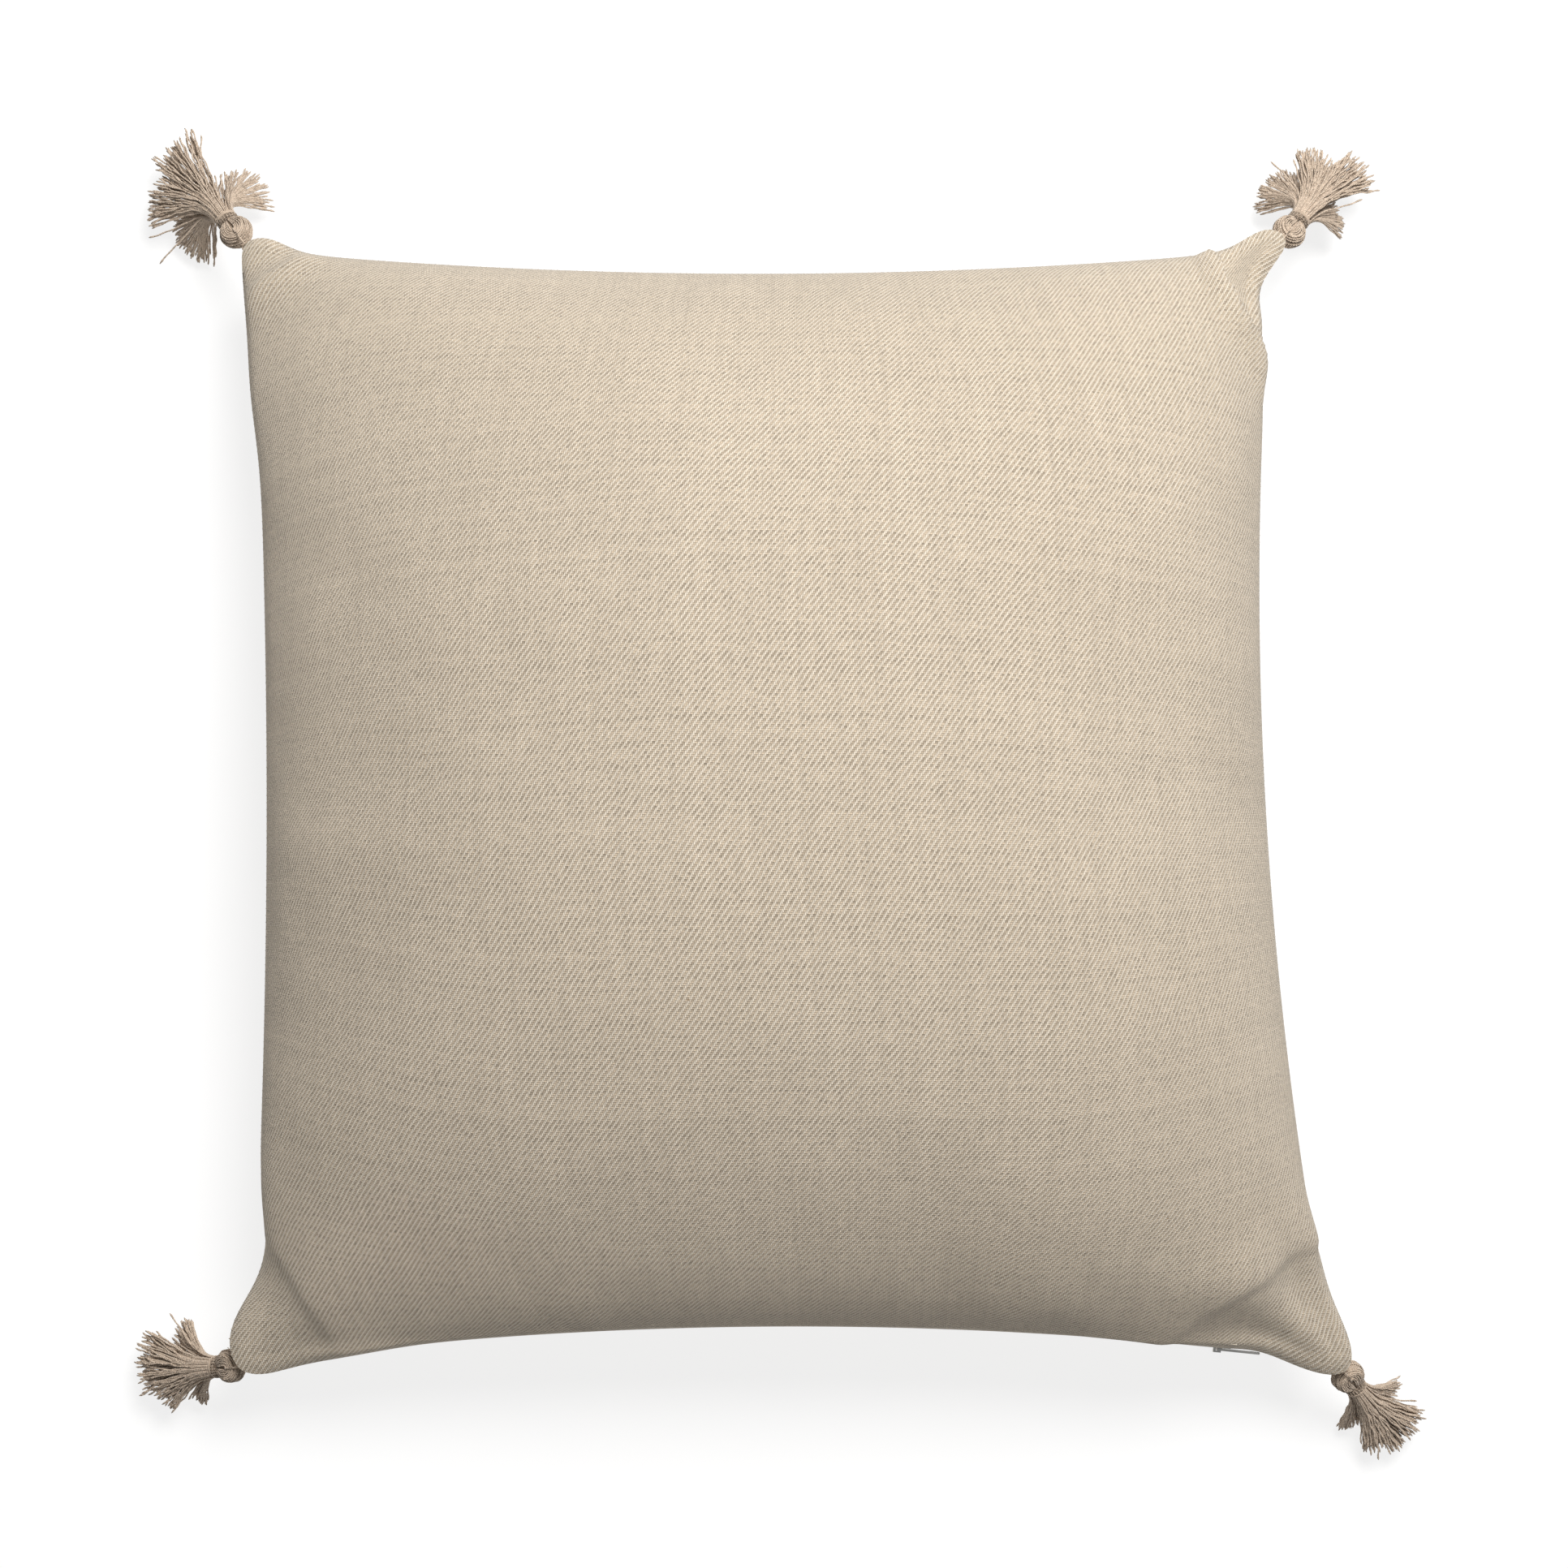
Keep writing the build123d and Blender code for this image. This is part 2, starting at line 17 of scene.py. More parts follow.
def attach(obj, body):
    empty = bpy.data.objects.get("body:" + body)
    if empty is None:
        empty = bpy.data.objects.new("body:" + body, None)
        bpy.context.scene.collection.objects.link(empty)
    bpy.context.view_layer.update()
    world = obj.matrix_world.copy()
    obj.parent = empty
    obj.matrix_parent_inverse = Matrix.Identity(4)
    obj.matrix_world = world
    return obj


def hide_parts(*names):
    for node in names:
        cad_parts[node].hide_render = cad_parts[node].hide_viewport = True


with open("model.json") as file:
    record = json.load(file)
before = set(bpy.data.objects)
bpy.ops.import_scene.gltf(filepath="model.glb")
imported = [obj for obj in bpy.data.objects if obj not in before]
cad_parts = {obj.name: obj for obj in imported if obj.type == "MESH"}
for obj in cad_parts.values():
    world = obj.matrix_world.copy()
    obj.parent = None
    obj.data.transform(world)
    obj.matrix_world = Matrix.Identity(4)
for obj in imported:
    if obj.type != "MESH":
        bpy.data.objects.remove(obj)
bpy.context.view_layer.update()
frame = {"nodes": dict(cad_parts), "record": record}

LOG = logging.getLogger("cushion")
Socket = bpy.types.NodeSocket
Source = Union[Socket, float, tuple]


# ---------------------------------------------------------------------------------------------
# Workbench helpers
# ---------------------------------------------------------------------------------------------
class Bench:
    """Selection, modifier and conversion steps that every piece needs."""

    @staticmethod
    def clear() -> None:
        """Leaves edit mode and deselects everything."""
        if bpy.context.object and bpy.context.object.mode != "OBJECT":
            bpy.ops.object.mode_set(mode="OBJECT")
        bpy.ops.object.select_all(action="DESELECT")

    @staticmethod
    def pick(*objects: bpy.types.Object) -> None:
        """Selects only these objects and makes the first one active."""
        Bench.clear()
        for item in objects:
            item.select_set(True)
        bpy.context.view_layer.objects.active = objects[0]

    @staticmethod
    def apply(piece: bpy.types.Object, modifier: bpy.types.Modifier) -> None:
        """Applies one modifier to a piece."""
        Bench.pick(piece)
        bpy.ops.object.modifier_apply(modifier=modifier.name)

    @staticmethod
    def to_mesh(piece: bpy.types.Object) -> bpy.types.Object:
        """Turns a curve into a mesh in place and returns it."""
        Bench.pick(piece)
        bpy.ops.object.convert(target="MESH")
        return bpy.context.object

    @staticmethod
    def drop(piece: bpy.types.Object) -> None:
        """Removes a helper object."""
        bpy.data.objects.remove(piece, do_unlink=True)

    @staticmethod
    def smooth(piece: bpy.types.Object, degrees: float = 50.0) -> None:
        """Shades a piece smooth, but for edges sharper than the angle."""
        Bench.pick(piece)
        bpy.ops.object.shade_smooth_by_angle(angle=math.radians(degrees))


def smoothstep(low: float, high: float, value: float) -> float:
    """Smooth 0 to 1 as value goes from low to high."""
    share = min(1.0, max(0.0, (value - low) / (high - low)))
    return share * share * (3 - 2 * share)


def hump(value: float, width: float) -> float:
    """Bell curve, 1 at zero and near 0 beyond two widths."""
    return math.exp(-((value / width) ** 2))


def joint(name: str) -> dict:
    """One joint of the frame, by its name."""
    return next(j for j in frame["record"]["behaviour"]["joints"] if j["name"] == name)


def report(piece: bpy.types.Object) -> None:
    """Logs one finished piece."""
    LOG.info("%s: %d faces", piece.name, len(piece.data.polygons))


# ---------------------------------------------------------------------------------------------
# Finishes
# ---------------------------------------------------------------------------------------------
class Recipe:
    """Adds shader nodes to one material and links them."""

    def __init__(self, name: str) -> None:
        """Starts an empty material with a principled shader."""
        self.material = bpy.data.materials.new(name)
        self.material.use_nodes = True
        self.tree = self.material.node_tree
        self.shader = next(n for n in self.tree.nodes if n.type == "BSDF_PRINCIPLED")

    def add(self, kind: str, **settings) -> bpy.types.Node:
        """Adds a node and sets its plain properties.

        Args:
            kind: Blender's node type name.
            settings: properties of the node itself.

        Returns:
            The new node.
        """
        node = self.tree.nodes.new(kind)
        for key, value in settings.items():
            setattr(node, key, value)
        return node

    def feed(self, socket: Socket, value: Source) -> None:
        """Links a socket's source, or sets its number.

        Args:
            socket: the input.
            value: an output to link, or a plain value.
        """
        if isinstance(value, Socket):
            self.tree.links.new(value, socket)
        else:
            socket.default_value = value

    def math(self, operation: str, first: Source, second: Source = 0.0) -> Socket:
        """One maths step.

        Args:
            operation: Blender's name of the step.
            first: number or socket.
            second: number or socket.

        Returns:
            The result.
        """
        node = self.add("ShaderNodeMath", operation=operation)
        self.feed(node.inputs[0], first)
        self.feed(node.inputs[1], second)
        return node.outputs[0]

    def plus(self, first: Source, second: Source) -> Socket:
        """Sum of two numbers or sockets."""
        return self.math("ADD", first, second)

    def minus(self, first: Source, second: Source) -> Socket:
        """Difference of two numbers or sockets."""
        return self.math("SUBTRACT", first, second)

    def times(self, first: Source, second: Source) -> Socket:
        """Product of two numbers or sockets."""
        return self.math("MULTIPLY", first, second)

    def span(self, value: Source, low: float, high: float, out_low: float = 0.0, out_high: float = 1.0) -> Socket:
        """Rescales a value from one range to another, smoothly and clamped.

        Args:
            value: number or socket.
            low: value that gives out_low.
            high: value that gives out_high.
            out_low: result at the low end.
            out_high: result at the high end.

        Returns:
            The rescaled value.
        """
        node = self.add("ShaderNodeMapRange", interpolation_type="SMOOTHSTEP")
        for socket, number in zip(node.inputs, (value, low, high, out_low, out_high)):
            self.feed(socket, number)
        return node.outputs[0]

    def blend(self, share: Source, first: Source, second: Source, mode: str = "MIX") -> Socket:
        """Mixes two colours.

        Args:
            share: socket or number, 0 for the first colour.
            first: colour or socket.
            second: colour or socket.
            mode: Blender's blend type.

        Returns:
            The mixed colour.
        """
        node = self.add("ShaderNodeMix", data_type="RGBA", blend_type=mode)
        colours = [s for s in node.inputs if s.type == "RGBA"]
        self.feed(node.inputs[0], share)
        self.feed(colours[0], first)
        self.feed(colours[1], second)
        return next(s for s in node.outputs if s.type == "RGBA")

    def point(self, x: Source, y: Source, z: Source = 0.0) -> Socket:
        """Makes a vector.

        Args:
            x: first number or socket.
            y: second number or socket.
            z: third number or socket.

        Returns:
            The vector.
        """
        node = self.add("ShaderNodeCombineXYZ")
        for socket, value in zip(node.inputs, (x, y, z)):
            self.feed(socket, value)
        return node.outputs[0]

    def noise(self, place: Socket, scale: float, detail: float = 2.0, roughness: float = 0.5) -> Socket:
        """Soft noise.

        Args:
            place: vector where it is read.
            scale: how fine it is.
            detail: how many finer layers it has.
            roughness: how strong the finer layers are.

        Returns:
            Noise from 0 to 1.
        """
        node = self.add("ShaderNodeTexNoise")
        self.feed(node.inputs["Vector"], place)
        node.inputs["Scale"].default_value = scale
        node.inputs["Detail"].default_value = detail
        node.inputs["Roughness"].default_value = roughness
        return node.outputs[0]

    def dice(self, place: Socket) -> Socket:
        """Random number.

        Args:
            place: vector that picks the number.

        Returns:
            A number from 0 to 1, the same for equal places.
        """
        node = self.add("ShaderNodeTexWhiteNoise")
        self.feed(node.inputs["Vector"], place)
        return node.outputs[0]

    def relief(self, height: Socket, distance: float, strength: float) -> None:
        """Bumps the shader's surface.

        Args:
            height: height from 0 to 1.
            distance: what a height of 1 stands for, in metres.
            strength: how strongly it shows.
        """
        node = self.add("ShaderNodeBump")
        node.inputs["Strength"].default_value = strength
        node.inputs["Distance"].default_value = distance
        self.feed(node.inputs["Height"], height)
        self.feed(self.shader.inputs["Normal"], node.outputs[0])

    def finish(self, colour: Source, **numbers: float) -> bpy.types.Material:
        """Sets the shader's colour and plain values.

        Args:
            colour: colour or socket of the surface.
            numbers: values by socket name, with underscores for spaces.

        Returns:
            The finished material.
        """
        self.feed(self.shader.inputs["Base Color"], colour)
        for key, value in numbers.items():
            self.shader.inputs[key.replace("_", " ")].default_value = value
        return self.material


    def by_object(self) -> Socket:
        """The piece's own coordinates."""
        return self.add("ShaderNodeTexCoord").outputs["Object"]


def toned(colour: tuple, factor: float) -> tuple:
    """The same colour, lighter or darker by a factor."""
    return tuple(c * factor for c in colour[:3]) + (1.0,)


@dataclass(frozen=True)
class TwillCloth:
    """Two-up, two-down linen twill: cream warp over flax weft, its lines rising to the right."""

    panel: float = 0.610
    warp_pitch: float = 0.00069
    weft_pitch: float = 0.00087
    cream: tuple = (0.70, 0.625, 0.52, 1.0)
    flax: tuple = (0.435, 0.36, 0.27, 1.0)
    # Colour of the painted shade in the hollows between the yarns.
    gap: tuple = (0.25, 0.20, 0.15, 1.0)
    fleck: tuple = (0.22, 0.12, 0.05, 1.0)

    def make(self, name: str = "linen_twill") -> bpy.types.Material:
        """Builds the cloth's material, which follows the panels' own flat coordinates.

        Args:
            name: the material's name.

        Returns:
            The material.
        """
        r = Recipe(name)
        uv = r.add("ShaderNodeUVMap", uv_map="UVMap").outputs[0]
        split = r.add("ShaderNodeSeparateXYZ")
        r.feed(split.inputs[0], uv)
        slow = r.noise(uv, 22.0, 2.0)
        quick = r.noise(uv, 130.0, 1.0)
        waver = r.times(r.minus(slow, 0.5), 3.2)
        shiver = r.times(r.minus(quick, 0.5), 0.9)
        across = r.plus(r.times(split.outputs[0], self.panel / self.warp_pitch), waver)
        along = r.plus(r.times(split.outputs[1], self.panel / self.weft_pitch), shiver)
        end, pick = r.math("FLOOR", across), r.math("FLOOR", along)
        warp = self.float_height(r, r.minus(along, end), r.math("FRACT", across))
        shifted = r.minus(r.minus(across, pick), 1.0)
        weft = self.float_height(r, shifted, r.math("FRACT", along))
        warp_tone, weft_tone = self.tones(r, end, pick, across, along)
        on_top = r.span(r.minus(warp, weft), -0.06, 0.06)
        height = r.math("MAXIMUM", warp, weft)
        cream = r.blend(warp_tone, toned(self.cream, 0.80), self.cream)
        flax = r.blend(weft_tone, toned(self.flax, 0.62), toned(self.flax, 1.30))
        yarn = r.blend(on_top, flax, cream)
        # Painted shade: the yarn colour darkens towards the gap colour where the yarns lie low between each other,
        # in place of their shadow.
        deep = r.blend(r.span(height, 0.05, 0.62), self.gap, yarn)
        speckled = r.blend(self.flecks(r, uv), deep, self.fleck)
        cloudy = r.span(r.noise(uv, 5.0, 3.0), 0.3, 0.7, 0.0, 0.10)
        shade = r.blend(cloudy, speckled, (0.62, 0.60, 0.57, 1.0), "MULTIPLY")
        fibre = r.noise(uv, 900.0, 2.0)
        r.relief(r.plus(height, r.times(fibre, 0.35)), 0.00034, 0.85)
        return r.finish(shade, Roughness=0.92, Sheen_Weight=0.12, Sheen_Roughness=0.6, Specular_IOR_Level=0.18)

    def float_height(self, r: Recipe, phase: Socket, cross: Socket) -> Socket:
        """Height of one set of yarns.

        Args:
            r: the material being made.
            phase: place along the yarn, in crossings, offset by the yarn's own step.
            cross: place across the yarn, from 0 to 1.

        Returns:
            Height from 0, under, to 1, on top of the cloth.
        """
        wave = r.math("SINE", r.times(phase, math.pi / 2))
        ride = r.span(wave, -0.35, 0.75)
        offset = r.math("ABSOLUTE", r.minus(cross, 0.5))
        round_over = r.minus(1.0, r.times(r.math("POWER", offset, 2.0), 2.9))
        return r.times(ride, round_over)

    def tones(self, r: Recipe, end: Socket, pick: Socket, across: Socket, along: Socket) -> tuple:
        """Lightness of each warp and weft yarn, with slow changes along it.

        Args:
            r: the material being made.
            end: number of the warp yarn.
            pick: number of the weft yarn.
            across: place across the warp, in yarns.
            along: place along the warp, in yarns.

        Returns:
            Lightness of the warp and of the weft, each from 0 to 1.
        """
        warp_run = r.noise(r.point(r.times(end, 7.31), r.times(along, 0.035)), 1.0, 2.0)
        reed = r.noise(r.point(r.times(end, 0.21), r.times(along, 0.008), 6.0), 1.0, 2.0)
        weft_run = r.noise(r.point(r.times(across, 0.16), r.times(pick, 5.17), 3.0), 1.0, 2.0)
        warp_each = r.dice(r.point(end, 0.0, 4.0))
        weft_each = r.dice(r.point(0.0, pick, 9.0))
        warp = r.plus(r.times(warp_run, 0.7), r.times(warp_each, 0.25))
        warp = r.plus(warp, r.times(reed, 0.55))
        weft = r.plus(r.times(weft_run, 1.0), r.times(weft_each, 0.14))
        return r.span(warp, 0.35, 1.10), r.span(weft, 0.25, 0.85)

    def flecks(self, r: Recipe, uv: Socket) -> Socket:
        """Sparse bits of darker plant in the yarn.

        Args:
            r: the material being made.
            uv: place on the flat panel.

        Returns:
            How strongly a fleck shows, from 0 to 1.
        """
        cells = r.add("ShaderNodeTexVoronoi", feature="F1")
        stretched = r.add("ShaderNodeMapping")
        stretched.inputs["Scale"].default_value = (1.0, 1.7, 1.0)
        r.feed(stretched.inputs[0], uv)
        r.feed(cells.inputs["Vector"], stretched.outputs[0])
        cells.inputs["Scale"].default_value = 26.0
        near = r.span(cells.outputs["Distance"], 0.016, 0.042, 1.0, 0.0)
        chosen = r.math("GREATER_THAN", r.dice(cells.outputs["Color"]), 0.72)
        return r.times(r.times(near, chosen), 0.62)


@dataclass(frozen=True)
class FlaxYarn:
    """Two-ply flax yarn of the tassels, each strand a little different."""

    light: tuple = (0.60, 0.485, 0.38, 1.0)
    dark: tuple = (0.36, 0.275, 0.205, 1.0)

    def make(self, name: str) -> bpy.types.Material:
        """Builds the yarn's material.

        Args:
            name: the material's name.

        Returns:
            The material.
        """
        r = Recipe(name)
        place = r.by_object()
        island = r.add("ShaderNodeNewGeometry").outputs["Random Per Island"]
        patches = r.noise(place, 260.0, 3.0)
        tone = r.plus(r.times(island, 0.55), r.times(patches, 0.60))
        colour = r.blend(r.span(tone, 0.15, 0.95), self.dark, self.light)
        fibres = r.noise(place, 2600.0, 3.0, 0.7)
        hairy = r.blend(r.span(fibres, 0.35, 0.75, 0.0, 0.35), colour, (0.66, 0.56, 0.45, 1.0))
        r.relief(fibres, 0.00016, 0.7)
        return r.finish(hairy, Roughness=0.88, Sheen_Weight=0.15, Sheen_Roughness=0.55, Specular_IOR_Level=0.2)


@dataclass(frozen=True)
class PlainCloth:
    """Fine plain-woven cloth: the insert's cotton, the zip's tape and sewing thread."""

    light: tuple
    dark: tuple
    pitch: float = 0.0005
    rough: float = 0.9

    def make(self, name: str) -> bpy.types.Material:
        """Builds a plain weave on the piece's own coordinates.

        Args:
            name: the material's name.

        Returns:
            The material.
        """
        r = Recipe(name)
        place = r.by_object()
        split = r.add("ShaderNodeSeparateXYZ")
        r.feed(split.inputs[0], place)
        turns = [r.math("SINE", r.times(split.outputs[i], math.pi / self.pitch)) for i in range(3)]
        ribs = r.plus(r.times(turns[0], turns[1]), r.times(turns[0], turns[2]))
        weave = r.span(ribs, -1.0, 1.0)
        cloud = r.noise(place, 300.0, 3.0)
        colour = r.blend(r.times(r.plus(weave, cloud), 0.5), self.dark, self.light)
        r.relief(weave, 0.0002, 0.5)
        return r.finish(colour, Roughness=self.rough, Sheen_Weight=0.05, Specular_IOR_Level=0.25)


@dataclass(frozen=True)
class SmoothPlastic:
    """Nylon of the zip's coils."""

    base: tuple = (0.60, 0.53, 0.42, 1.0)

    def make(self, name: str = "zip_nylon") -> bpy.types.Material:
        """Builds the nylon's material.

        Args:
            name: the material's name.

        Returns:
            The material.
        """
        r = Recipe(name)
        place = r.by_object()
        cloud = r.noise(place, 500.0, 2.0)
        colour = r.blend(r.span(cloud, 0.3, 0.7), toned(self.base, 0.88), self.base)
        r.relief(r.noise(place, 3000.0, 2.0), 0.00003, 0.4)
        return r.finish(colour, Roughness=0.38, Specular_IOR_Level=0.5)


@dataclass(frozen=True)
class BrushedMetal:
    """Satin nickel of the slider, pull and stops, worn brighter on its edges."""

    base: tuple = (0.62, 0.59, 0.54, 1.0)
    worn: tuple = (0.80, 0.78, 0.74, 1.0)

    def make(self, name: str = "zip_nickel") -> bpy.types.Material:
        """Builds the metal's material.

        Args:
            name: the material's name.

        Returns:
            The material.
        """
        r = Recipe(name)
        place = r.by_object()
        stretch = r.add("ShaderNodeMapping")
        stretch.inputs["Scale"].default_value = (0.15, 1.0, 1.0)
        r.feed(stretch.inputs[0], place)
        brushed = r.noise(stretch.outputs[0], 6000.0, 3.0)
        edge = r.add("ShaderNodeNewGeometry").outputs["Pointiness"]
        colour = r.blend(r.span(edge, 0.50, 0.58), self.base, self.worn)
        r.feed(r.shader.inputs["Roughness"], r.span(brushed, 0.2, 0.8, 0.26, 0.44))
        r.relief(brushed, 0.00002, 0.35)
        return r.finish(colour, Metallic=1.0)


@dataclass(frozen=True)
class FloorPaint:
    """Plain, almost white studio floor."""

    shade: tuple = (0.22, 0.22, 0.22, 1.0)
    lift: float = 0.80

    def make(self, name: str = "studio_floor") -> bpy.types.Material:
        """Builds the floor's material.

        Args:
            name: the material's name.

        Returns:
            The material.
        """
        white = (1.0, 1.0, 1.0, 1.0)
        matt = {"Roughness": 0.95, "Specular_IOR_Level": 0.0}
        return Recipe(name).finish(self.shade, Emission_Color=white, Emission_Strength=self.lift, **matt)


# ---------------------------------------------------------------------------------------------
# Where the cushion's seam lies
# ---------------------------------------------------------------------------------------------
@dataclass(frozen=True)
class SeamPlan:
    """The sewn outline of the cover as it lies on the floor, in metres."""

    half_x: float = 0.285
    half_y: float = 0.3005
    back_narrowing: float = 0.017
    front_widening: float = 0.017
    pull_left: float = 0.013
    pull_right: float = 0.025
    pull_back: float = 0.017
    pull_front: float = 0.024
    seam_height: float = 0.088
    droop: float = 0.034
    zip_share: float = 0.80
    sewn_share: float = 0.93
    slot_half: float = 0.0042

    def corner(self, side_x: int, side_y: int) -> tuple:
        """Plan position of one seam corner.

        Args:
            side_x: 1 for the right side, -1 for the left.
            side_y: 1 for the back, -1 for the front.

        Returns:
            x and y.
        """
        lay = 0.0
        if side_x > 0:
            lay = -self.back_narrowing if side_y > 0 else self.front_widening
        return side_x * self.half_x + lay, side_y * self.half_y

    def plan(self, u: float, v: float) -> tuple:
        """Plan position on the seam surface.

        Args:
            u: place from left to right, -1 to 1.
            v: place from front to back, -1 to 1.

        Returns:
            x and y.
        """
        x = y = 0.0
        for side_x in (-1, 1):
            for side_y in (-1, 1):
                share = (1 + side_x * u) * (1 + side_y * v) / 4
                corner = self.corner(side_x, side_y)
                x += share * corner[0]
                y += share * corner[1]
        x += (self.pull_left * (1 - u) - self.pull_right * (1 + u)) / 2 * (1 - v * v)
        y += (self.pull_front * (1 - v) - self.pull_back * (1 + v)) / 2 * (1 - u * u)
        return x, y

    def height(self, x: float, y: float) -> float:
        """Height of the seam surface, which droops towards the corners."""
        return self.seam_height - self.droop * (x / self.half_x) ** 2 * (y / self.half_y) ** 2

    def place(self, u: float, v: float) -> Vector:
        """Point of the seam surface at u, v."""
        x, y = self.plan(u, v)
        return Vector((x, y, self.height(x, y)))

    def parting(self, u: float) -> float:
        """How far each panel stands off the seam along the zip."""
        share = (self.sewn_share - abs(u)) / (self.sewn_share - self.zip_share - 0.02)
        return self.slot_half * smoothstep(0.0, 1.0, share)


# ---------------------------------------------------------------------------------------------
# Cover and insert
# ---------------------------------------------------------------------------------------------
@dataclass(frozen=True)
class Swell:
    """A stretch of seam that stands out from the form's edge, or in where out is negative."""

    along: float
    width: float
    out: float


@dataclass(frozen=True)
class CornerShape:
    """How the cloth ends at one corner: how round, how far out, and how it folds behind the end.

    The flank is the left or right edge, and the brow the front or back edge.
    """

    side_x: int
    side_y: int
    rounding: float
    push: float
    lift: float
    fold: float
    depth: float
    width: float
    skew: float
    ripples: float
    flank: tuple
    brow: tuple


CORNERS = (
    CornerShape(
        side_x=1, side_y=1, rounding=0.006, push=0.0090, lift=0.0035,
        fold=0.050, depth=0.0085, width=0.0050, skew=0.25, ripples=0.0,
        flank=(Swell(0.006, 0.007, 0.0015), Swell(0.026, 0.013, -0.0068), Swell(0.050, 0.026, -0.0030)),
        brow=(Swell(0.013, 0.013, 0.0058),),
    ),
    CornerShape(
        side_x=-1, side_y=1, rounding=0.008, push=0.0056, lift=0.0035,
        fold=0.030, depth=0.0040, width=0.0060, skew=-0.10, ripples=0.0,
        flank=(Swell(0.030, 0.026, 0.0022), Swell(0.072, 0.040, 0.0040)),
        brow=(Swell(0.015, 0.013, 0.0042),),
    ),
    CornerShape(
        side_x=-1, side_y=-1, rounding=0.024, push=0.0165, lift=0.0050,
        fold=0.060, depth=0.0022, width=0.0110, skew=0.15, ripples=0.5,
        flank=(Swell(0.026, 0.017, 0.0062), Swell(0.068, 0.028, -0.0048)),
        brow=(Swell(0.050, 0.036, 0.0030),),
    ),
    CornerShape(
        side_x=1, side_y=-1, rounding=0.015, push=0.0130, lift=0.0050,
        fold=0.080, depth=0.0032, width=0.0110, skew=-0.20, ripples=1.0,
        flank=(Swell(0.020, 0.018, 0.0042), Swell(0.050, 0.024, 0.0022)),
        brow=(Swell(0.022, 0.015, 0.0024), Swell(0.048, 0.014, -0.0012)),
    ),
)

FILLING = {
    "quality": 6,
    "mass": 0.25,
    "tension_stiffness": 45,
    "compression_stiffness": 12,
    "shear_stiffness": 6,
    "bending_stiffness": 1.2,
    "tension_damping": 12,
    "compression_damping": 12,
    "air_damping": 2.0,
    "use_pressure": True,
}


@dataclass
class Cover:
    """Two twill panels sewn together, filled, and closed by a zip at the front."""

    seam: SeamPlan
    panel: float = 0.610
    divisions: int = 96
    crown: float = 0.112
    belly: float = 0.112
    shoulder: float = 0.22
    skew: float = 0.10
    dome: float = 0.010
    hem: float = 0.0030
    frames: int = 34
    pressure: float = 6.0
    evening: int = 220
    residue: float = 0.10
    zip_reach: float = 0.020
    insert_share: float = 0.965

    def corner_at(self, x: float, y: float) -> CornerShape:
        """Corner of the panel that a point is nearest to."""
        return next(c for c in CORNERS if c.side_x * x >= 0 and c.side_y * y >= 0)

    def flat_case(self) -> bpy.types.Object:
        """Lays one panel on the other and welds their edges.

        Returns:
            The empty, flat cover. Its UV map holds each point's place on the flat panel, and the
            attribute "grid" its place counted from edge to edge, -1 to 1, and its side.
        """
        layers = []
        for side in (1, -1):
            Bench.clear()
            bpy.ops.mesh.primitive_grid_add(
                x_subdivisions=self.divisions, y_subdivisions=self.divisions, size=self.panel, location=(0, 0, 0)
            )
            layer = bpy.context.object
            grid = layer.data.attributes.new("grid", "FLOAT_VECTOR", "POINT")
            for vertex in layer.data.vertices:
                gx, gy = vertex.co.x * 2 / self.panel, vertex.co.y * 2 / self.panel
                on_rim = max(abs(gx), abs(gy)) > 0.9999
                grid.data[vertex.index].vector = (gx, gy, 0.0 if on_rim else side)
                vertex.co = self.flat_point(vertex.co.x, vertex.co.y, side)
            if side < 0:
                bpy.ops.object.mode_set(mode="EDIT")
                bpy.ops.mesh.select_all(action="SELECT")
                bpy.ops.mesh.flip_normals()
                bpy.ops.object.mode_set(mode="OBJECT")
            layers.append(layer)
        Bench.pick(*layers)
        bpy.ops.object.join()
        bpy.ops.object.mode_set(mode="EDIT")
        bpy.ops.mesh.select_all(action="SELECT")
        bpy.ops.mesh.remove_doubles(threshold=0.00005)
        bpy.ops.object.mode_set(mode="OBJECT")
        case = bpy.context.object
        self.lay_flat_coordinates(case)
        return case

    def flat_point(self, x: float, y: float, side: int) -> Vector:
        """Moves a grid point onto a panel with rounded corners, slightly domed to one side.

        Args:
            x: place from left to right.
            y: place from front to back.
            side: 1 for the upper panel, -1 for the lower.

        Returns:
            The new point.
        """
        half, radius = self.panel / 2, self.corner_at(x, y).rounding
        a, b = half - abs(x), half - abs(y)
        if a < radius and b < radius:
            w = Vector((radius - a, radius - b))
            reach = max(w.x, w.y)
            if w.length > 1e-9:
                w *= reach / w.length
            a, b = radius - w.x, radius - w.y
        fx, fy = x / half, y / half
        dome = self.dome * max(0.0, (1 - fx * fx) * (1 - fy * fy)) ** 0.5
        return Vector((math.copysign(half - a, x), math.copysign(half - b, y), side * dome))

    def lay_flat_coordinates(self, case: bpy.types.Object) -> None:
        """Writes each point's place on the flat panel to the UV map.

        Args:
            case: the flat cover.
        """
        layer = case.data.uv_layers.active or case.data.uv_layers.new(name="UVMap")
        layer.name = "UVMap"
        for loop in case.data.loops:
            point = case.data.vertices[loop.vertex_index].co
            layer.data[loop.index].uv = (point.x / self.panel + 0.5, point.y / self.panel + 0.5)

    def inflate(self, case: bpy.types.Object) -> None:
        """Fills the case by cloth pressure and keeps the shape it takes.

        Args:
            case: the flat cover.
        """
        modifier = case.modifiers.new("filling", "CLOTH")
        cloth = modifier.settings
        for name, value in FILLING.items():
            setattr(cloth, name, value)
        cloth.uniform_pressure_force = self.pressure
        cloth.effector_weights.gravity = 0
        scene = bpy.context.scene
        scene.frame_start, scene.frame_end = 1, self.frames
        modifier.point_cache.frame_start = 1
        modifier.point_cache.frame_end = self.frames
        for number in range(1, self.frames + 1):
            scene.frame_set(number)
        Bench.apply(case, modifier)
        scene.frame_set(1)

